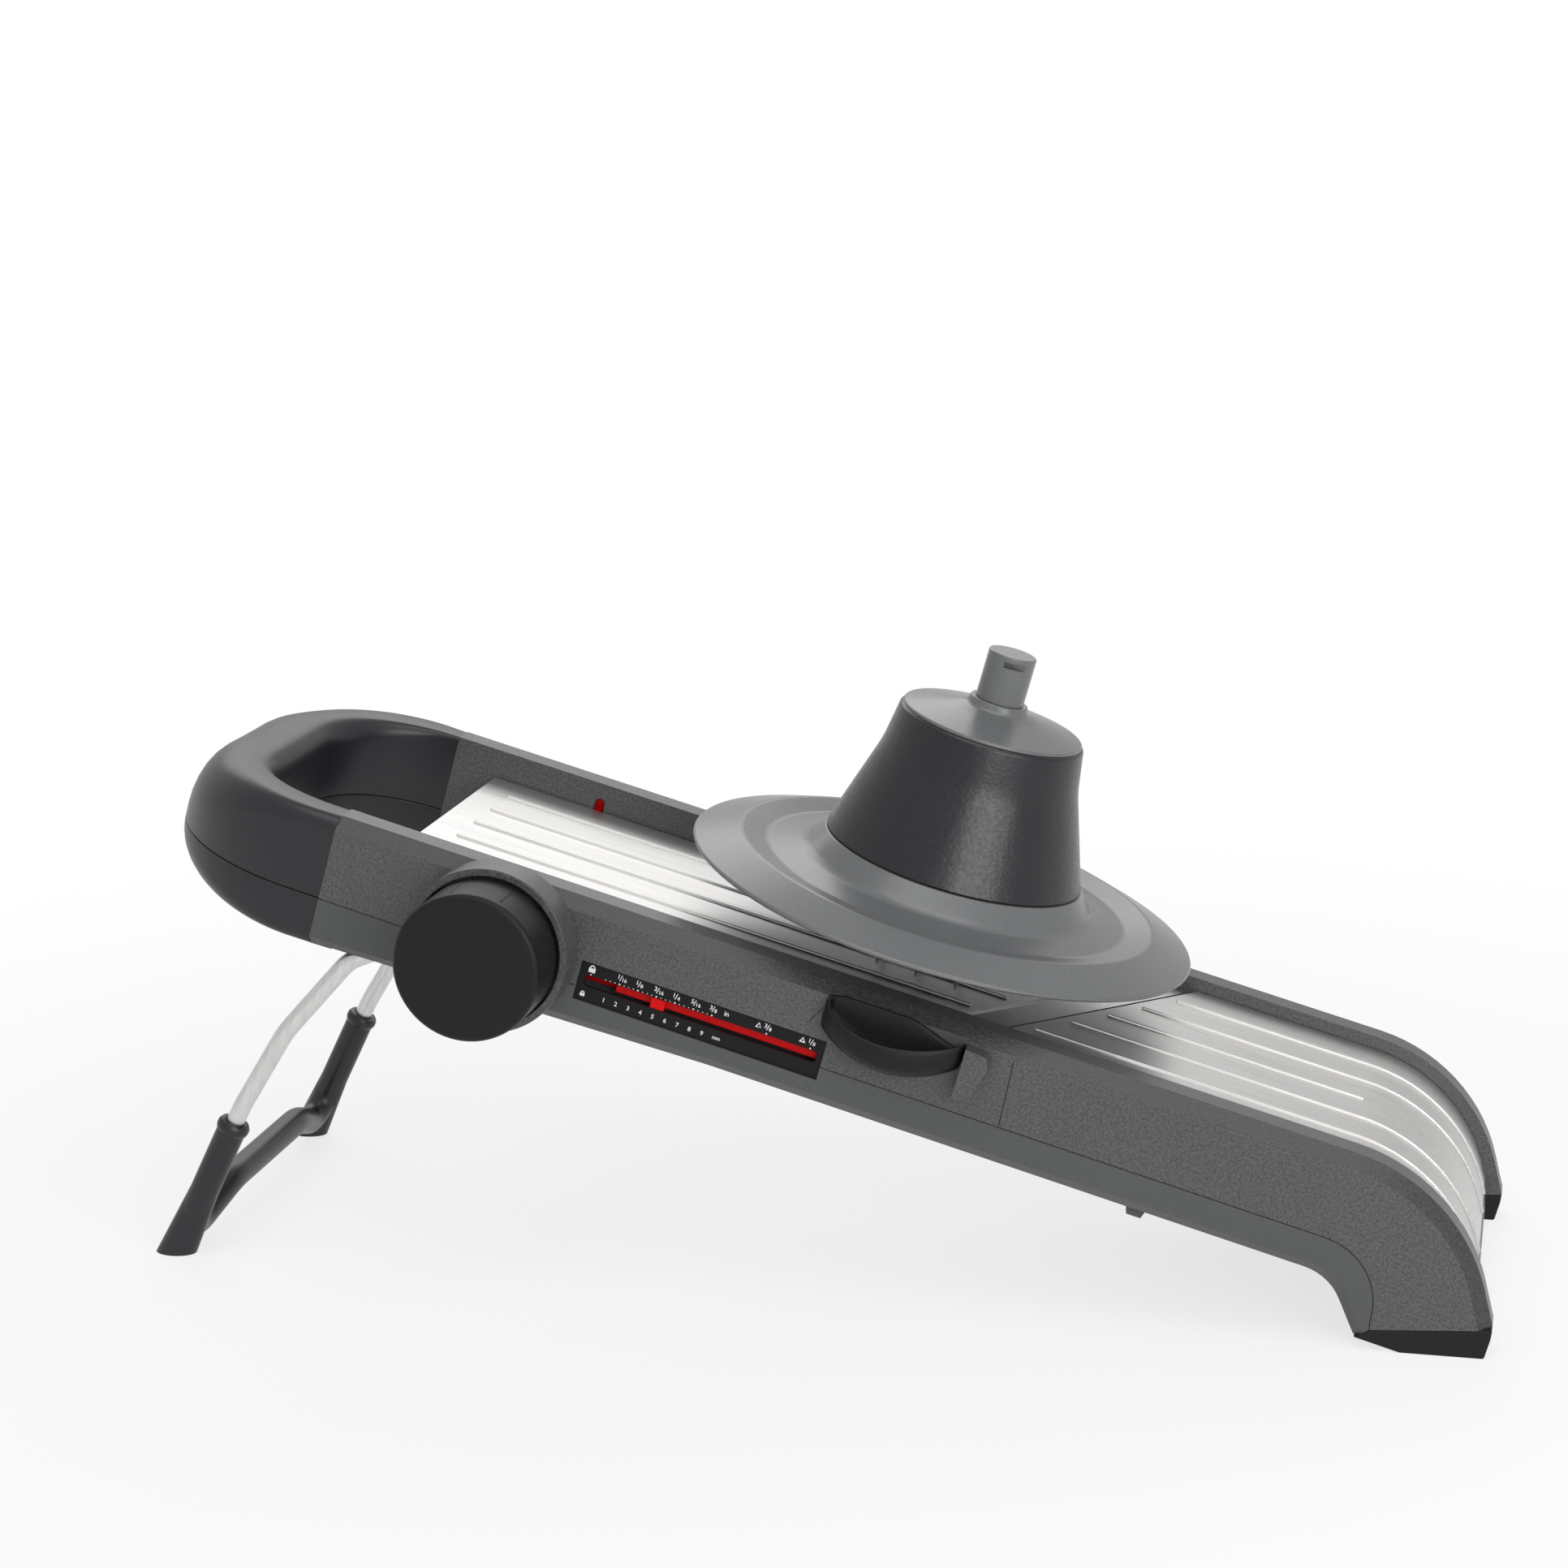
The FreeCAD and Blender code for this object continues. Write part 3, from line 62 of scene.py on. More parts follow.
TILT = math.radians(15.64)
KNOB = Vector((107.6, 0, -21.2))
knob_joint = next(j for j in frame["joints"] if j["name"] == "knob_turn")
DECK = (Matrix.Translation(knob_joint["pos_m"]) @ Matrix.Rotation(TILT, 4, "Y")
        @ Matrix.Scale(0.001, 4) @ Matrix.Translation(-KNOB))
MM = 0.001


# ------------------------------------------------------------------ materials
def shader(name, base, rough, metallic=0.0):
    """A new material; returns its node tree pieces for the helpers below."""
    mat = bpy.data.materials.new(name)
    mat.use_nodes = True
    bsdf = mat.node_tree.nodes["Principled BSDF"]
    bsdf.inputs["Base Color"].default_value = (*base, 1)
    bsdf.inputs["Roughness"].default_value = rough
    bsdf.inputs["Metallic"].default_value = metallic
    return mat, mat.node_tree.nodes, mat.node_tree.links, bsdf


def noise(nodes, links, scale, detail=3.0, stretch=None):
    """Noise in the object's own coordinates, in metres, drawn out by stretch."""
    place = nodes.new("ShaderNodeTexCoord")
    turn = nodes.new("ShaderNodeMapping")
    turn.vector_type = "TEXTURE"
    turn.inputs["Rotation"].default_value = (0, TILT, 0)
    turn.inputs["Scale"].default_value = stretch or (1, 1, 1)
    links.new(place.outputs["Object"], turn.inputs["Vector"])
    tex = nodes.new("ShaderNodeTexNoise")
    tex.inputs["Scale"].default_value = scale
    tex.inputs["Detail"].default_value = detail
    links.new(turn.outputs["Vector"], tex.inputs["Vector"])
    return tex.outputs["Fac"]


def ramp(nodes, links, value, stops):
    """A colour ramp over value; stops are (place, colour or gray)."""
    node = nodes.new("ShaderNodeValToRGB")
    while len(node.color_ramp.elements) < len(stops):
        node.color_ramp.elements.new(0.5)
    for element, (place, tone) in zip(node.color_ramp.elements, stops):
        element.position = place
        element.color = (*tone, 1) if isinstance(tone, tuple) else (tone, tone, tone, 1)
    links.new(value, node.inputs["Fac"])
    return node.outputs["Color"]


def bump(nodes, links, bsdf, height, strength, distance=0.0002):
    node = nodes.new("ShaderNodeBump")
    node.inputs["Strength"].default_value = strength
    node.inputs["Distance"].default_value = distance
    links.new(height, node.inputs["Height"])
    links.new(node.outputs["Normal"], bsdf.inputs["Normal"])


def tint(base, by):
    return tuple(min(1, max(0, channel * by)) for channel in base)


def grained(name, base, rough, grain=2600, depth=0.25, speckle=0.16, sheen=0.5,
            painted_bevel_shade=1.0):
    """Moulded plastic or rubber with a fine spark-eroded grain, and painted shade that darkens the near bevels
    (faces turned part way towards -Y).
    """
    mat, nodes, links, bsdf = shader(name, base, rough)
    fine = noise(nodes, links, grain, 2)
    broad = noise(nodes, links, 22, 3)
    tone = ramp(nodes, links, fine, [(0.35, tint(base, 1 - speckle)), (0.68, tint(base, 1 + speckle))])
    blend = nodes.new("ShaderNodeMix")
    blend.data_type = "RGBA"
    blend.blend_type = "MULTIPLY"
    blend.inputs["Factor"].default_value = 1
    links.new(tone, blend.inputs["A"])
    links.new(ramp(nodes, links, broad, [(0.3, 0.93), (0.7, 1.0)]), blend.inputs["B"])
    # painted shade: faces turned part way towards -Y (the near bevels) have their colour multiplied down by the
    # bevel shade level; faces square to -Y and all others keep their colour
    facing = nodes.new("ShaderNodeNewGeometry")
    split = nodes.new("ShaderNodeSeparateXYZ")
    links.new(facing.outputs["Normal"], split.inputs[0])
    nearer = nodes.new("ShaderNodeMath")
    nearer.operation = "MULTIPLY"
    nearer.inputs[1].default_value = -1
    links.new(split.outputs["Y"], nearer.inputs[0])
    painted_shade_mix = nodes.new("ShaderNodeMix")
    painted_shade_mix.data_type = "RGBA"
    painted_shade_mix.blend_type = "MULTIPLY"
    painted_shade_mix.inputs["Factor"].default_value = 1
    links.new(blend.outputs["Result"], painted_shade_mix.inputs["A"])
    links.new(ramp(nodes, links, nearer.outputs[0],
                   [(0.2, 1.0), (0.45, painted_bevel_shade), (0.88, painted_bevel_shade), (0.98, 1.0)]),
              painted_shade_mix.inputs["B"])
    links.new(painted_shade_mix.outputs["Result"], bsdf.inputs["Base Color"])
    links.new(ramp(nodes, links, fine, [(0.3, rough - 0.05), (0.7, rough + 0.07)]),
              bsdf.inputs["Roughness"])
    bsdf.inputs["Specular IOR Level"].default_value = sheen
    bump(nodes, links, bsdf, fine, depth, 0.00015)
    return mat


def brushed(name, base, rough, stretch, depth=0.12):
    """Rolled or brushed steel, with fine lines along one way."""
    mat, nodes, links, bsdf = shader(name, base, rough, 1.0)
    lines = noise(nodes, links, 900, 4, stretch)
    clouds = noise(nodes, links, 14, 3)
    tone = ramp(nodes, links, lines, [(0.3, tint(base, 0.9)), (0.7, tint(base, 1.05))])
    links.new(tone, bsdf.inputs["Base Color"])
    uneven = nodes.new("ShaderNodeMath")
    uneven.operation = "MULTIPLY_ADD"
    links.new(clouds, uneven.inputs[0])
    uneven.inputs[1].default_value = 0.12
    uneven.inputs[2].default_value = rough - 0.06
    links.new(uneven.outputs[0], bsdf.inputs["Roughness"])
    bump(nodes, links, bsdf, lines, depth, 0.00008)
    return mat


# the housing's near bevels carry painted shade at half brightness
housing = grained("housing_gray_grained", (0.078, 0.081, 0.080), 0.38, grain=1300, depth=0.6,
                  speckle=0.36, sheen=0.5, painted_bevel_shade=0.5)
housing_low = grained("housing_gray_smooth", (0.082, 0.086, 0.086), 0.42, grain=2600, depth=0.2,
                      speckle=0.12, sheen=0.4)
rubber = grained("grip_black_soft", (0.0085, 0.009, 0.012), 0.36, grain=3000, depth=0.12,
                 speckle=0.1, sheen=0.5)
sole = grained("foot_black_rubber", (0.008, 0.008, 0.009), 0.6, sheen=0.25)
knob_black = grained("knob_black_grained", (0.0065, 0.0065, 0.008), 0.45, depth=0.3, sheen=0.25)
panel = grained("panel_black_satin", (0.006, 0.006, 0.007), 0.4, depth=0.05, speckle=0.05,
                sheen=0.2)
holder_gray = grained("holder_gray_satin", (0.125, 0.129, 0.133), 0.28, depth=0.1, speckle=0.08,
                      sheen=0.7)
pebbled = grained("holder_black_pebbled", (0.0075, 0.008, 0.011), 0.32, grain=900, depth=0.5,
                  speckle=0.08, sheen=0.5)
natural = grained("bush_natural", (0.62, 0.60, 0.55), 0.5, depth=0.1, speckle=0.04)
red = grained("cam_red_satin", (0.64, 0.002, 0.003), 0.35, depth=0.04, speckle=0.06, sheen=0.15)
white_ink = grained("scale_white_ink", (0.80, 0.80, 0.80), 0.5, depth=0.02, speckle=0.03)
deck_steel = brushed("deck_steel_brushed", (0.60, 0.592, 0.582), 0.38, (40, 1, 1), 0.06)
blade_steel = brushed("blade_steel_ground", (0.62, 0.62, 0.62), 0.22, (1, 30, 1))
wire_steel = brushed("wire_steel_satin", (0.66, 0.655, 0.645), 0.34, (1, 1, 12))
screw_steel = brushed("screw_steel_plain", (0.5, 0.5, 0.5), 0.3, (1, 1, 4))

FINISH = {"housing_gray": housing, "soft_black": rubber, "foot_rubber": sole,
          "deck_steel": deck_steel, "panel_black": panel, "screw_steel": screw_steel,
          "bush_white": natural, "knob_black": knob_black, "cam_red": red,
          "blade_steel": blade_steel, "wire_steel": wire_steel, "holder_gray": holder_gray}
SPECIAL = {"holder_grip": pebbled, "knob_grip": knob_black, "lower_housing": housing_low}


def dress(obj, material):
    if not obj.material_slots:
        obj.data.materials.append(material)
    for place in obj.material_slots:
        place.material = material


def rounded(obj, width, angle=32, segments=3):
    """Welds the facets, rounds the sharp edges a little and evens the shading."""
    weld = obj.modifiers.new("weld", "WELD")
    weld.merge_threshold = 0.000004
    flat = obj.modifiers.new("flat", "DECIMATE")
    flat.decimate_type = "DISSOLVE"
    flat.angle_limit = math.radians(0.4)
    edge = obj.modifiers.new("edge", "BEVEL")
    edge.width = width * MM
    edge.segments = segments
    edge.limit_method = "ANGLE"
    edge.angle_limit = math.radians(angle)
    edge.use_clamp_overlap = True
    edge.miter_outer = "MITER_ARC"
    even = obj.modifiers.new("even", "WEIGHTED_NORMAL")
    even.keep_sharp = False
    for face in obj.data.polygons:
        face.use_smooth = True


for entry in frame["record"]["subparts"]:
    item = frame["nodes"][entry["node"]]
    dress(item, SPECIAL.get(entry["node"], FINISH[entry["material_slot"]]))

EDGES = {"upper_housing": 0.5, "lower_housing": 0.5, "knob_grip": 0.4, "knob_boss": 0.5,
         "blade_lever": 0.8, "landing_plate": 0.4, "runway_plate": 0.4, "near_foot_pad": 0.6,
         "far_foot_pad": 0.6, "holder_cap": 0.4, "holder_grip": 0.6, "holder_shell": 0.4,
         "plunger_button": 0.4, "plunger_stem": 0.3, "blade_frame": 0.3, "scale_panel": 0.2,
         "knob_core": 0.4}
for node, width in EDGES.items():
    rounded(frame["nodes"][node], width)

# ------------------------------------------------------------------ pieces in the deck frame
def piece(name, points, faces, material, body, slot, smooth=35):
    """A mesh from deck points in millimetres, riding on a body."""
    mesh = bpy.data.meshes.new(name)
    mesh.from_pydata([DECK @ Vector(point) for point in points], [], faces)
    made = bmesh.new()
    made.from_mesh(mesh)
    bmesh.ops.remove_doubles(made, verts=made.verts, dist=0.000002)
    bmesh.ops.recalc_face_normals(made, faces=made.faces)
    made.to_mesh(mesh)
    made.free()
    for face in mesh.polygons:
        face.use_smooth = True
    mesh.set_sharp_from_angle(angle=math.radians(smooth))
    obj = bpy.data.objects.new(name, mesh)
    bpy.context.scene.collection.objects.link(obj)
    mesh.materials.append(material)
    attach(obj, body)
    return obj


def loft(rings, capped=True):
    """Points and faces of a skin over equal closed rings."""
    size = len(rings[0])
    points = [point for ring in rings for point in ring]
    faces = []
    for row in range(len(rings) - 1):
        for i in range(size):
            near, far = row * size, (row + 1) * size
            j = (i + 1) % size
            faces.append((near + i, near + j, far + j, far + i))
    if capped:
        faces.append(tuple(range(size)))
        faces.append(tuple(range((len(rings) - 1) * size, len(rings) * size)))
    return points, faces


def ease(t):
    return t * t * (3 - 2 * t)


def between(a, b, t):
    return a + (b - a) * t


def rounded_profile(width, low, high, corners, steps=9):
    """Closed outline of (across, height): each corner has its own pair of radii."""
    spots = ((0, low, 1, 1), (width, low, -1, 1), (width, high, -1, -1), (0, high, 1, -1))
    outline = []
    for index, ((across, height, way_x, way_z), (rx, rz)) in enumerate(zip(spots, corners)):
        for step in range(steps):
            turn = step / (steps - 1) * math.pi / 2
            if index % 2:
                turn = math.pi / 2 - turn
            outline.append((across + way_x * rx * (1 - math.cos(turn)),
                            height + way_z * rz * (1 - math.sin(turn))))
    return outline


# ------------------------------------------------------------------ soft handle loop
GRIP_X, SIDE, INSIDE, HANDLE_X, HOLE_X = 50.0, 66.6, 54.5, -12.0, 16.0
OUT_R, IN_R, SEAM_Z, GRIP_TOP, GRIP_LOW = 52.0, 34.0, -26.7, -0.6, -42.3
ARC_STEPS, END_STEPS = 26, 12


def handle_stations():
    """(outer point, inner point, share of the way to the end) along half the loop."""
    rows = [((GRIP_X, -SIDE), (GRIP_X, -INSIDE), 0.0)]
    for step in range(ARC_STEPS + 1):
        turn = step / ARC_STEPS * math.pi / 2
        outer = (HANDLE_X + OUT_R * (1 - math.sin(turn)), -SIDE + OUT_R * (1 - math.cos(turn)))
        inner = (HOLE_X + IN_R * (1 - math.sin(turn)), -INSIDE + IN_R * (1 - math.cos(turn)))
        rows.append((outer, inner, 0.06 + 0.94 * step / ARC_STEPS))
    last_out, last_in = rows[-1][0], rows[-1][1]
    for step in range(1, END_STEPS + 1):
        share = step / END_STEPS
        rows.append(((HANDLE_X, between(last_out[1], 0, share)),
                     (HOLE_X, between(last_in[1], 0, share)), 1.0))
    return rows


def handle_ring(row, upper):
    (out_x, out_y), (in_x, in_y), share = row
    width = math.hypot(out_x - in_x, out_y - in_y)
    soft = ease(min(1, share * 1.15))
    crown = between(GRIP_TOP + 0.4, GRIP_TOP - 0.4, soft)
    belly = between(GRIP_LOW, GRIP_LOW + 2.6, soft)
    small = (0.35, 0.25)
    if upper:
        corners = (small, small, (between(4.2, 15, soft), between(4.8, 22, soft)),
                   (between(1.2, 8, soft), between(1.2, 9, soft)))
        outline = rounded_profile(width, SEAM_Z + 0.12, crown, corners)
    else:
        corners = ((between(1.2, 6, soft), between(1.2, 7, soft)),
                   (between(3.2, 14, soft), between(3.2, 12.5, soft)), small, small)
        outline = rounded_profile(width, belly, SEAM_Z - 0.12, corners)
    return [(between(in_x, out_x, across / width), between(in_y, out_y, across / width), height)
            for across, height in outline]


def handle(upper):
    half = [handle_ring(row, upper) for row in handle_stations()]
    far = [[(x, -y, z) for x, y, z in ring] for ring in reversed(half[:-1])]
    return loft(half + far)


for label, upper in (("handle_grip_upper", True), ("handle_grip_lower", False)):
    grip = piece(label + "_soft", *handle(upper), rubber, "frame", "soft_black")
    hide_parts(label)

# ------------------------------------------------------------------ blade lever scoop
LEVER_X, LEVER_HALF, FACE_Y = 232.0, 22.0, -67.4
LEVER_STEPS = 40


def lever_ring(share):
    """Section square to the deck: back plate, finger pocket and outer lip."""
    x = LEVER_X + LEVER_HALF * (2 * share - 1)
    swell = math.sin(math.pi * min(1, max(0, share))) ** 0.55 if 0 < share < 1 else 0.0
    out = 2.6 + 10.6 * swell
    top = -2.3 - 4.6 * ease(max(0, (share - 0.55) / 0.45)) - 1.2 * (1 - min(1, share / 0.12))
    lip = -3.4 - 5.8 * math.sin(math.pi * share ** 0.8) ** 0.8
    low = -9.2 - 10.3 * math.sin(math.pi * (0.08 + 0.86 * share)) ** 0.7
    wall = 2.0 if swell > 0.3 else 1.0
    floor_z = between(lip - 0.4, low + 3.2, min(1, swell * 1.1))
    front = FACE_Y - out
    pocket = max(0.2, out - 2 * wall)
    return [(x, FACE_Y, low + 1.0), (x, FACE_Y, top), (x, FACE_Y - wall * 0.5, top + 0.2),
            (x, FACE_Y - wall, top - 0.2), (x, FACE_Y - wall - 0.1, floor_z + 1.2),
            (x, FACE_Y - wall - pocket * 0.35, floor_z), (x, FACE_Y - wall - pocket * 0.8, floor_z + 0.8),
            (x, front + wall * 0.9, lip - 0.3), (x, front + wall * 0.45, lip),
            (x, front, lip - 0.8), (x, front - 0.25 * swell, (lip + low) / 2),
            (x, front + 1.4 * swell, low + 1.6), (x, FACE_Y - out * 0.55, low)]


lever = piece("blade_lever_scoop",
              *loft([lever_ring(step / LEVER_STEPS) for step in range(LEVER_STEPS + 1)]),
              knob_black, "cartridge", "knob_black", 80)
smooth = lever.modifiers.new("smooth", "SUBSURF")
smooth.levels = smooth.render_levels = 2
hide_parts("blade_lever")

# ------------------------------------------------------------------ scale and signs
PANEL_Y = -66.4
INK = 0.04
ink_points, ink_faces = [], []


def ink(points, faces):
    start = len(ink_points)
    ink_points.extend(points)
    ink_faces.extend(tuple(start + i for i in face) for face in faces)


def write(words, x, z, size):
    """Words standing on the panel, centred on (x, z)."""
    curve = bpy.data.curves.new("words", "FONT")
    curve.body = words
    curve.size = size
    curve.align_x = "CENTER"
    curve.align_y = "CENTER"
    curve.resolution_u = 2
    curve.extrude = INK / 2
    curve.offset = 0.012 * size
    obj = bpy.data.objects.new("words", curve)
    bpy.context.scene.collection.objects.link(obj)
    mesh = bpy.data.meshes.new_from_object(obj.evaluated_get(bpy.context.evaluated_depsgraph_get()))
    ink([(x + v.co.x, PANEL_Y - INK / 2 - v.co.z, z + v.co.y) for v in mesh.vertices],
        [tuple(face.vertices) for face in mesh.polygons])
    bpy.data.objects.remove(obj)
    bpy.data.meshes.remove(mesh)


def flat_shape(outline):
    """A flat raised shape on the panel from its (x, z) outline."""
    count = len(outline)
    back = [(x, PANEL_Y + 0.01, z) for x, z in outline]
    front = [(x, PANEL_Y - INK, z) for x, z in outline]
    faces = [tuple(range(count)), tuple(range(count, 2 * count))]
    faces += [(i, (i + 1) % count, count + (i + 1) % count, count + i) for i in range(count)]
    ink(back + front, faces)


def dot(x, z, radius):
    flat_shape([(x + radius * math.cos(a * math.pi / 6), z + radius * math.sin(a * math.pi / 6))
                for a in range(12)])


def strip(outline, thick):
    """A closed band between an outline of (x, z, inner x, inner z) rows."""
    for (x1, z1, a1, b1), (x2, z2, a2, b2) in zip(outline, outline[1:]):
        flat_shape([(x1, z1), (x2, z2), (a2, b2), (a1, b1)])


def padlock(x, z, size):
    flat_shape([(x - 0.5 * size, z - 0.55 * size), (x + 0.5 * size, z - 0.55 * size),
                (x + 0.5 * size, z + 0.1 * size), (x - 0.5 * size, z + 0.1 * size)])
    rows = []
    for step in range(9):
        turn = step / 8 * math.pi
        rows.append((x + 0.42 * size * math.cos(turn), z + 0.1 * size + 0.5 * size * math.sin(turn),
                     x + 0.24 * size * math.cos(turn), z + 0.1 * size + 0.3 * size * math.sin(turn)))
    strip(rows, 0)


def triangle(x, z, size):
    corners = [(x - size / 2, z - size * 0.43), (x + size / 2, z - size * 0.43), (x, z + size * 0.43)]
    inner = [(x + (a - x) * 0.5, z - size * 0.07 + (b - z + size * 0.07) * 0.5) for a, b in corners]
    rows = [corners[i % 3] + inner[i % 3] for i in range(4)]
    strip(rows, 0)


def fraction(upper, lower, x, z):
    write(upper, x - 0.75, z + 0.35, 2.0)
    write("/", x, z, 2.6)
    write(lower, x + 0.8 + 0.3 * (len(lower) - 1), z - 0.35, 1.7)


UPPER_Z, DOT_Z, LOWER_Z = -20.25, -22.2, -28.7
SIXTEENTH, FIRST_SIXTEENTH, MILLIMETRE, ZERO = 5.96, 147.7, 3.97, 140.2
padlock(138.4, -20.3, 2.1)
padlock(137.3, LOWER_Z, 1.5)
dot(138.4, DOT_Z, 0.22)
for step, words in enumerate((("1", "16"), ("1", "8"), ("3", "16"), ("1", "4"), ("5", "16"), ("3", "8"))):
    fraction(*words, FIRST_SIXTEENTH + SIXTEENTH * step, UPPER_Z)
    dot(FIRST_SIXTEENTH + SIXTEENTH * step, DOT_Z, 0.27)
    for part in (-3, -2, -1):
        dot(FIRST_SIXTEENTH + SIXTEENTH * (step + part / 4), DOT_Z, 0.16)
write("in", 181.8, UPPER_Z, 2.2)
for number in range(1, 10):
    write(str(number), ZERO + MILLIMETRE * number, LOWER_Z, 2.0)
write("mm", 180.6, LOWER_Z, 1.7)
for x, low, high in ((195.0, "3", "8"), (209.0, "1", "8")):
    triangle(x - 2.9, UPPER_Z, 2.0)
    fraction(low, high, x, UPPER_Z)
    dot(x, DOT_Z, 0.27)
piece("scale_marks", ink_points, ink_faces, white_ink, "frame", "panel_black")


# ------------------------------------------------------------------ fine lines and lips
def bar_between(start, end, normal, width, proud, sunk=0.3):
    """A thin straight strip lying on a surface from start to end."""
    start, end, normal = Vector(start), Vector(end), Vector(normal).normalized()
    across = (end - start).cross(normal).normalized() * (width / 2)
    corners = [start - across, start + across, end + across, end - across]
    points = [corner - normal * sunk for corner in corners]
    points += [corner + normal * proud for corner in corners]
    faces = [(0, 1, 2, 3), (4, 5, 6, 7), (0, 1, 5, 4), (1, 2, 6, 5), (2, 3, 7, 6), (3, 0, 4, 7)]
    return points, faces


def lines(name, rows, material, body, slot):
    points, faces = [], []
    for row in rows:
        more, sides = bar_between(*row)
        faces += [tuple(len(points) + i for i in side) for side in sides]
        points += more
    return piece(name, points, faces, material, body, slot)


near = (0, -1, 0)
lines("side_panel_seams",
      [((268.6, -67.1, -5.2), (269.9, -67.1, -26.4), near, 0.28, 0.02),
       ((206.6, -67.1, -13.6), (209.6, -67.1, -8.2), near, 0.2, 0.02)],
      sole, "frame", "panel_black")

HEEL_X, HEEL_R = 391.0, 20.0
seam = [(GRIP_X, SEAM_Z), (84, SEAM_Z), None, (131, SEAM_Z), (134.6, SEAM_Z), None,
        (213.7, SEAM_Z), (HEEL_X - HEEL_R, SEAM_Z)]
seam += [(HEEL_X - HEEL_R + HEEL_R * math.sin(step / 8 * math.pi / 2),
          SEAM_Z - HEEL_R + HEEL_R * math.cos(step / 8 * math.pi / 2)) for step in range(1, 9)]
seam += [(HEEL_X + 0.6, -49.8)]
for label, y in (("near", -67.1), ("far", 67.1)):
    stops = [spot for spot in seam if spot or y < 0]
    rows = [((a[0], y, a[1]), (b[0], y, b[1]), (0, y, 0), 0.3, 0.02)
            for a, b in zip(stops, stops[1:]) if a and b]
    lines(label + "_housing_seam", rows, sole, "frame", "housing_gray")

# gray plate of the cartridge behind the lever's low end
backing = [(228.5, -3.1), (254.0, -3.1), (254.0, -18.5), (236.0, -16.0), (228.5, -9.0)]
piece("lever_backing",
      [(x, y, z) for y in (-67.14, -67.38) for x, z in backing],
      [(0, 1, 2, 3, 4), (5, 6, 7, 8, 9)] + [(i, (i + 1) % 5, 5 + (i + 1) % 5, 5 + i)
                                            for i in range(5)],
      housing_low, "cartridge", "housing_gray")

KNOB_R, KNOB_FACE, KNOB_BACK = 22.7, -99.7, -80.4
ticks = []
for step in range(9):
    turn = math.radians(12 + 40 * step)
    way = Vector((math.sin(turn), 0, math.cos(turn)))
    spot = Vector((KNOB.x, 0, KNOB.z)) + way * KNOB_R
    ticks.append(((spot.x, KNOB_FACE + 3.6, spot.z), (spot.x, KNOB_BACK - 1.5, spot.z),
                  tuple(way), 0.7, 0.05))
lines("knob_skirt_ticks", ticks, sole, "knob", "knob_black")


def turned(name, profile, centre, axis, material, body, slot, steps=48):
    """A lathed ring: profile rows are (radius, along the axis), in millimetres."""
    axis = Vector(axis).normalized()
    side = axis.orthogonal().normalized()
    other = axis.cross(side)
    rings = []
    for step in range(steps + 1):
        turn = 2 * math.pi * step / steps
        way = side * math.cos(turn) + other * math.sin(turn)
        rings.append([tuple(Vector(centre) + way * radius + axis * along)
                      for radius, along in profile])
    return piece(name, *loft(rings, capped=False), material, body, slot)


UP_LEG = Vector((math.sin(math.radians(10)), 0, math.cos(math.radians(10))))
to_deck = DECK.inverted()
sleeve = [to_deck @ v.co for v in frame["nodes"]["leg_sleeve"].data.vertices]
for label, side in (("near", -1), ("far", 1)):
    own = [v for v in sleeve if v.y * side > 0]
    highest = max(v.dot(UP_LEG) for v in own)
    ring = [v for v in own if v.dot(UP_LEG) > highest - 0.3]
    middle = sum(ring, Vector()) / len(ring)
    turned(label + "_sleeve_lip", [(3.0, -0.2), (3.0, 0.5), (3.5, 0.9), (4.6, 0.7), (5.2, -0.3),
                                   (5.25, -1.6), (4.9, -2.6), (4.4, -3.0)],
           middle, UP_LEG, rubber, "leg", "soft_black")

# ------------------------------------------------------------------ floor, light, camera
lo, hi = (Vector(v) for v in cad_box)


def plane(name, size, place, material):
    mesh = bpy.data.meshes.new(name)
    made = bmesh.new()
    bmesh.ops.create_grid(made, x_segments=8, y_segments=8, size=size)
    made.to_mesh(mesh)
    made.free()
    obj = bpy.data.objects.new(name, mesh)
    bpy.context.scene.collection.objects.link(obj)
    obj.location = place
    mesh.materials.append(material)
    return obj


def seen_white(name, amount, start, end):
    """Pale floor that keeps its shadows near the object and fades to plain white around it."""
    mat, nodes, links, bsdf = shader(name, (0.90, 0.90, 0.90), 0.75)
    rays = nodes.new("ShaderNodeLightPath")
    seen = nodes.new("ShaderNodeMath")
    seen.operation = "MAXIMUM"
    links.new(rays.outputs["Is Camera Ray"], seen.inputs[0])
    links.new(rays.outputs["Is Glossy Ray"], seen.inputs[1])
    place = nodes.new("ShaderNodeTexCoord")
    away = nodes.new("ShaderNodeVectorMath")
    away.operation = "LENGTH"
    links.new(place.outputs["Object"], away.inputs[0])
    fade = nodes.new("ShaderNodeMapRange")
    fade.interpolation_type = "SMOOTHSTEP"
    for socket, number in (("From Min", start), ("From Max", end), ("To Min", amount),
                           ("To Max", 1.0)):
        fade.inputs[socket].default_value = number
    links.new(away.outputs["Value"], fade.inputs["Value"])
    part = nodes.new("ShaderNodeMath")
    part.operation = "MULTIPLY"
    links.new(fade.outputs["Result"], part.inputs[1])
    links.new(seen.outputs[0], part.inputs[0])
    glow = nodes.new("ShaderNodeEmission")
    mix = nodes.new("ShaderNodeMixShader")
    links.new(part.outputs[0], mix.inputs["Fac"])
    links.new(bsdf.outputs[0], mix.inputs[1])
    links.new(glow.outputs[0], mix.inputs[2])
    links.new(mix.outputs[0], nodes["Material Output"].inputs["Surface"])
    return mat


plane("floor", 12, (0, 0, 0), seen_white("floor_white", 0.74, 0.22, 0.62))

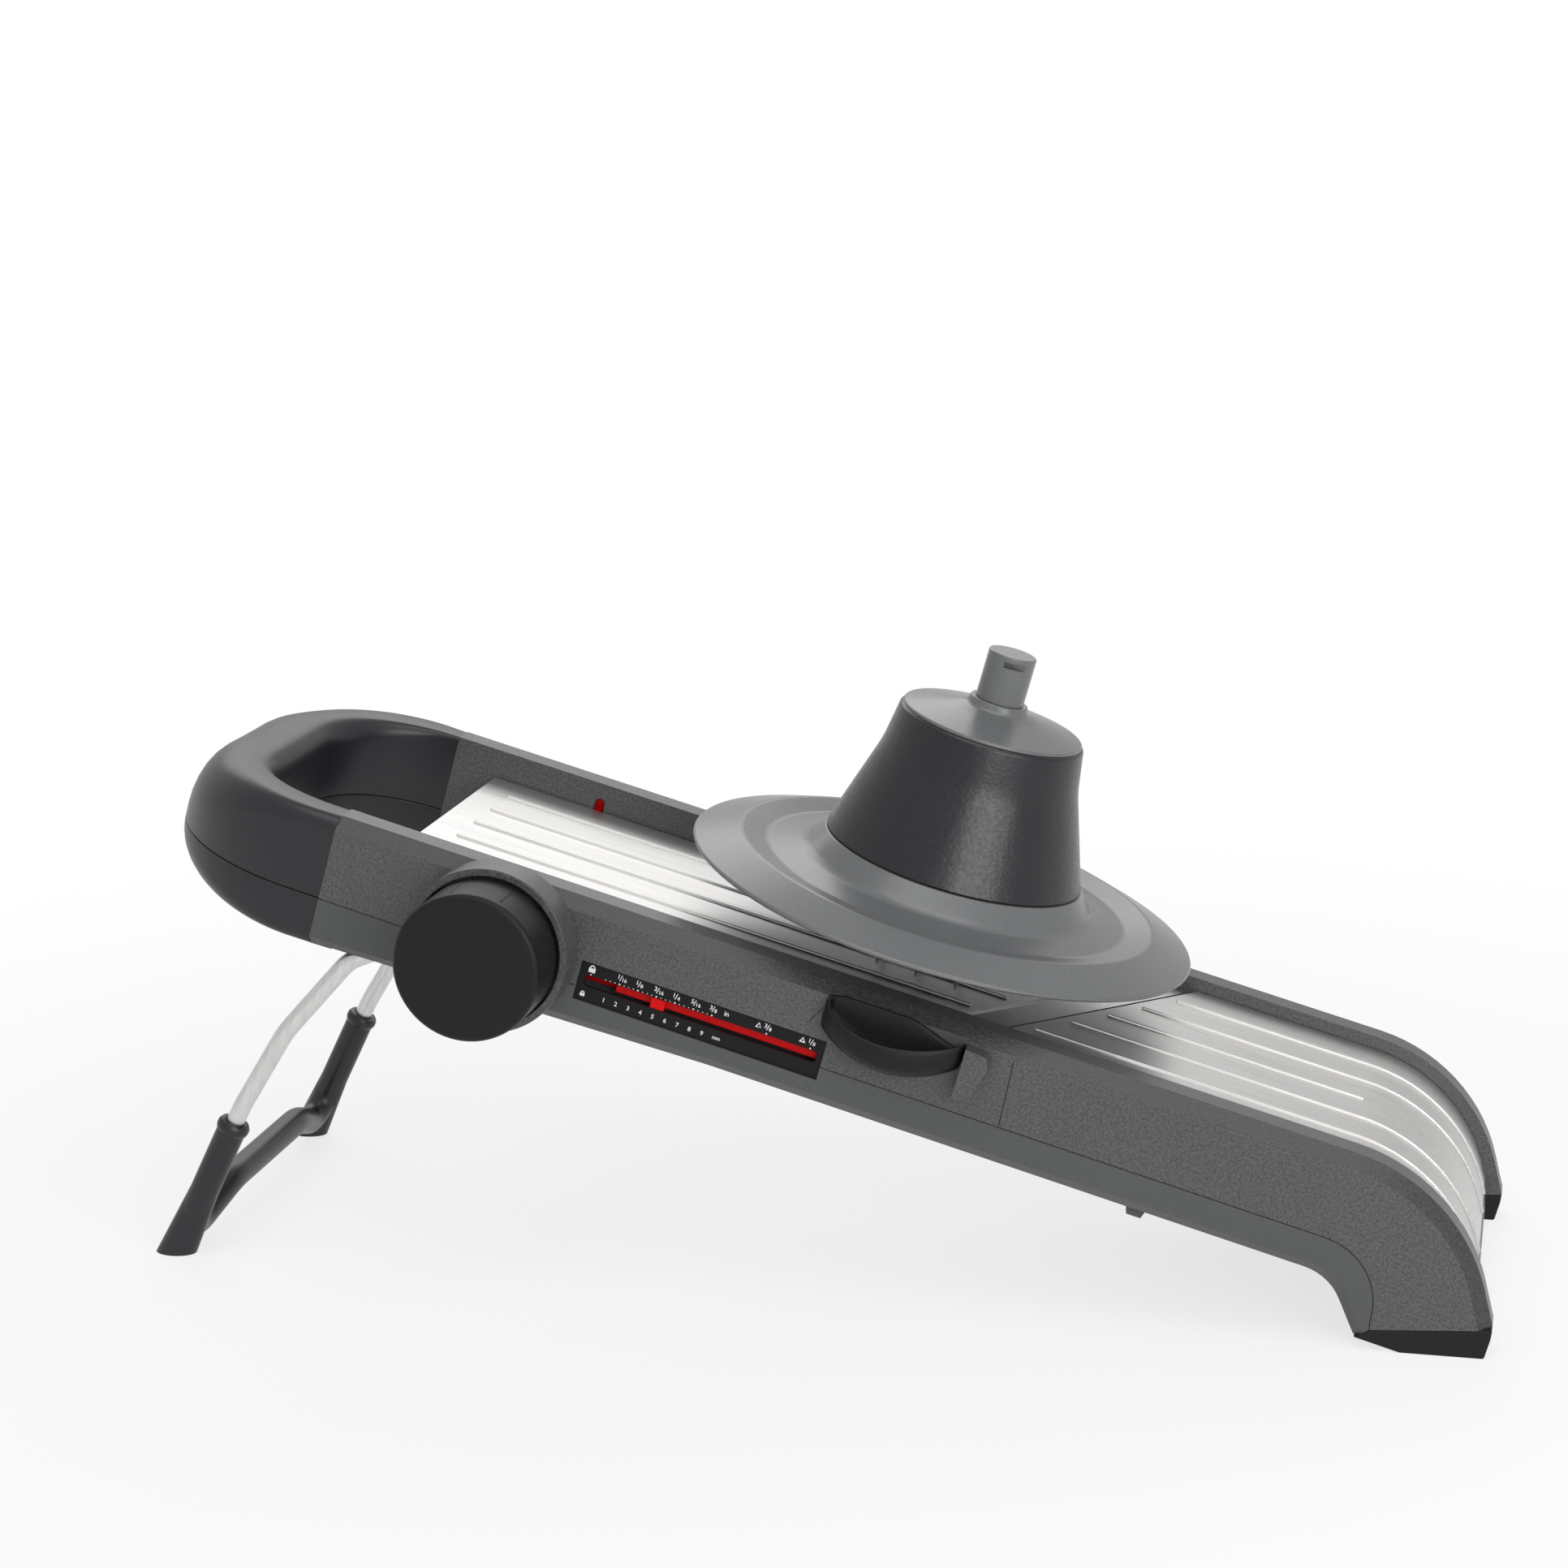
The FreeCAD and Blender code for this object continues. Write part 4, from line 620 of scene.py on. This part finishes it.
DIFFUSE_SKY, GLOSSY_SKY, SEEN_SKY = 0.42, 0.75, 1.0
world = bpy.data.worlds.new("studio")
bpy.context.scene.world = world
world.use_nodes = True
tree = world.node_tree
background = tree.nodes["Background"]
background.inputs["Color"].default_value = (1, 1, 1, 1)
rays = tree.nodes.new("ShaderNodeLightPath")
level = DIFFUSE_SKY
for output, sky in (("Is Glossy Ray", GLOSSY_SKY), ("Is Camera Ray", SEEN_SKY)):
    step = tree.nodes.new("ShaderNodeMix")
    step.data_type = "FLOAT"
    tree.links.new(rays.outputs[output], step.inputs["Factor"])
    if isinstance(level, float):
        step.inputs["A"].default_value = level
    else:
        tree.links.new(level, step.inputs["A"])
    step.inputs["B"].default_value = sky
    level = step.outputs["Result"]
tree.links.new(level, background.inputs["Strength"])


def lamp(name, place, aim, size, power):
    light = bpy.data.lights.new(name, "AREA")
    light.shape = "RECTANGLE"
    light.size, light.size_y = size
    light.energy = power
    obj = bpy.data.objects.new(name, light)
    bpy.context.scene.collection.objects.link(obj)
    obj.location = place
    obj.rotation_euler = (Vector(aim) - Vector(place)).to_track_quat("-Z", "Y").to_euler()
    return obj


lamp("key", (0.3, -0.6, 1.5), (0, 0, 0.08), (1.6, 1.0), 9)
lamp("side", (0.75, -1.0, 0.42), (0.2, 0, 0.05), (0.9, 0.5), 7)
lamp("back", (-0.5, 1.3, 1.1), (0, 0, 0.08), (1.6, 0.8), 7)

AZIMUTH, ELEVATION, ROLL = (math.radians(v) for v in (12.66, 12.78, 0.26))
camera = bpy.data.objects.new("camera", bpy.data.cameras.new("camera"))
bpy.context.scene.collection.objects.link(camera)
camera.data.sensor_width = 36
camera.data.lens = 80.27
camera.data.clip_start = 0.05
turn = (Euler((math.pi / 2 - ELEVATION, 0, AZIMUTH)).to_matrix()
        @ Matrix.Rotation(-ROLL, 3, "Z"))
camera.matrix_world = Matrix.Translation(DECK @ Vector((330.9, -1050.3, 333.7))) @ turn.to_4x4()
bpy.context.scene.camera = camera
bpy.context.scene.view_settings.view_transform = "Standard"
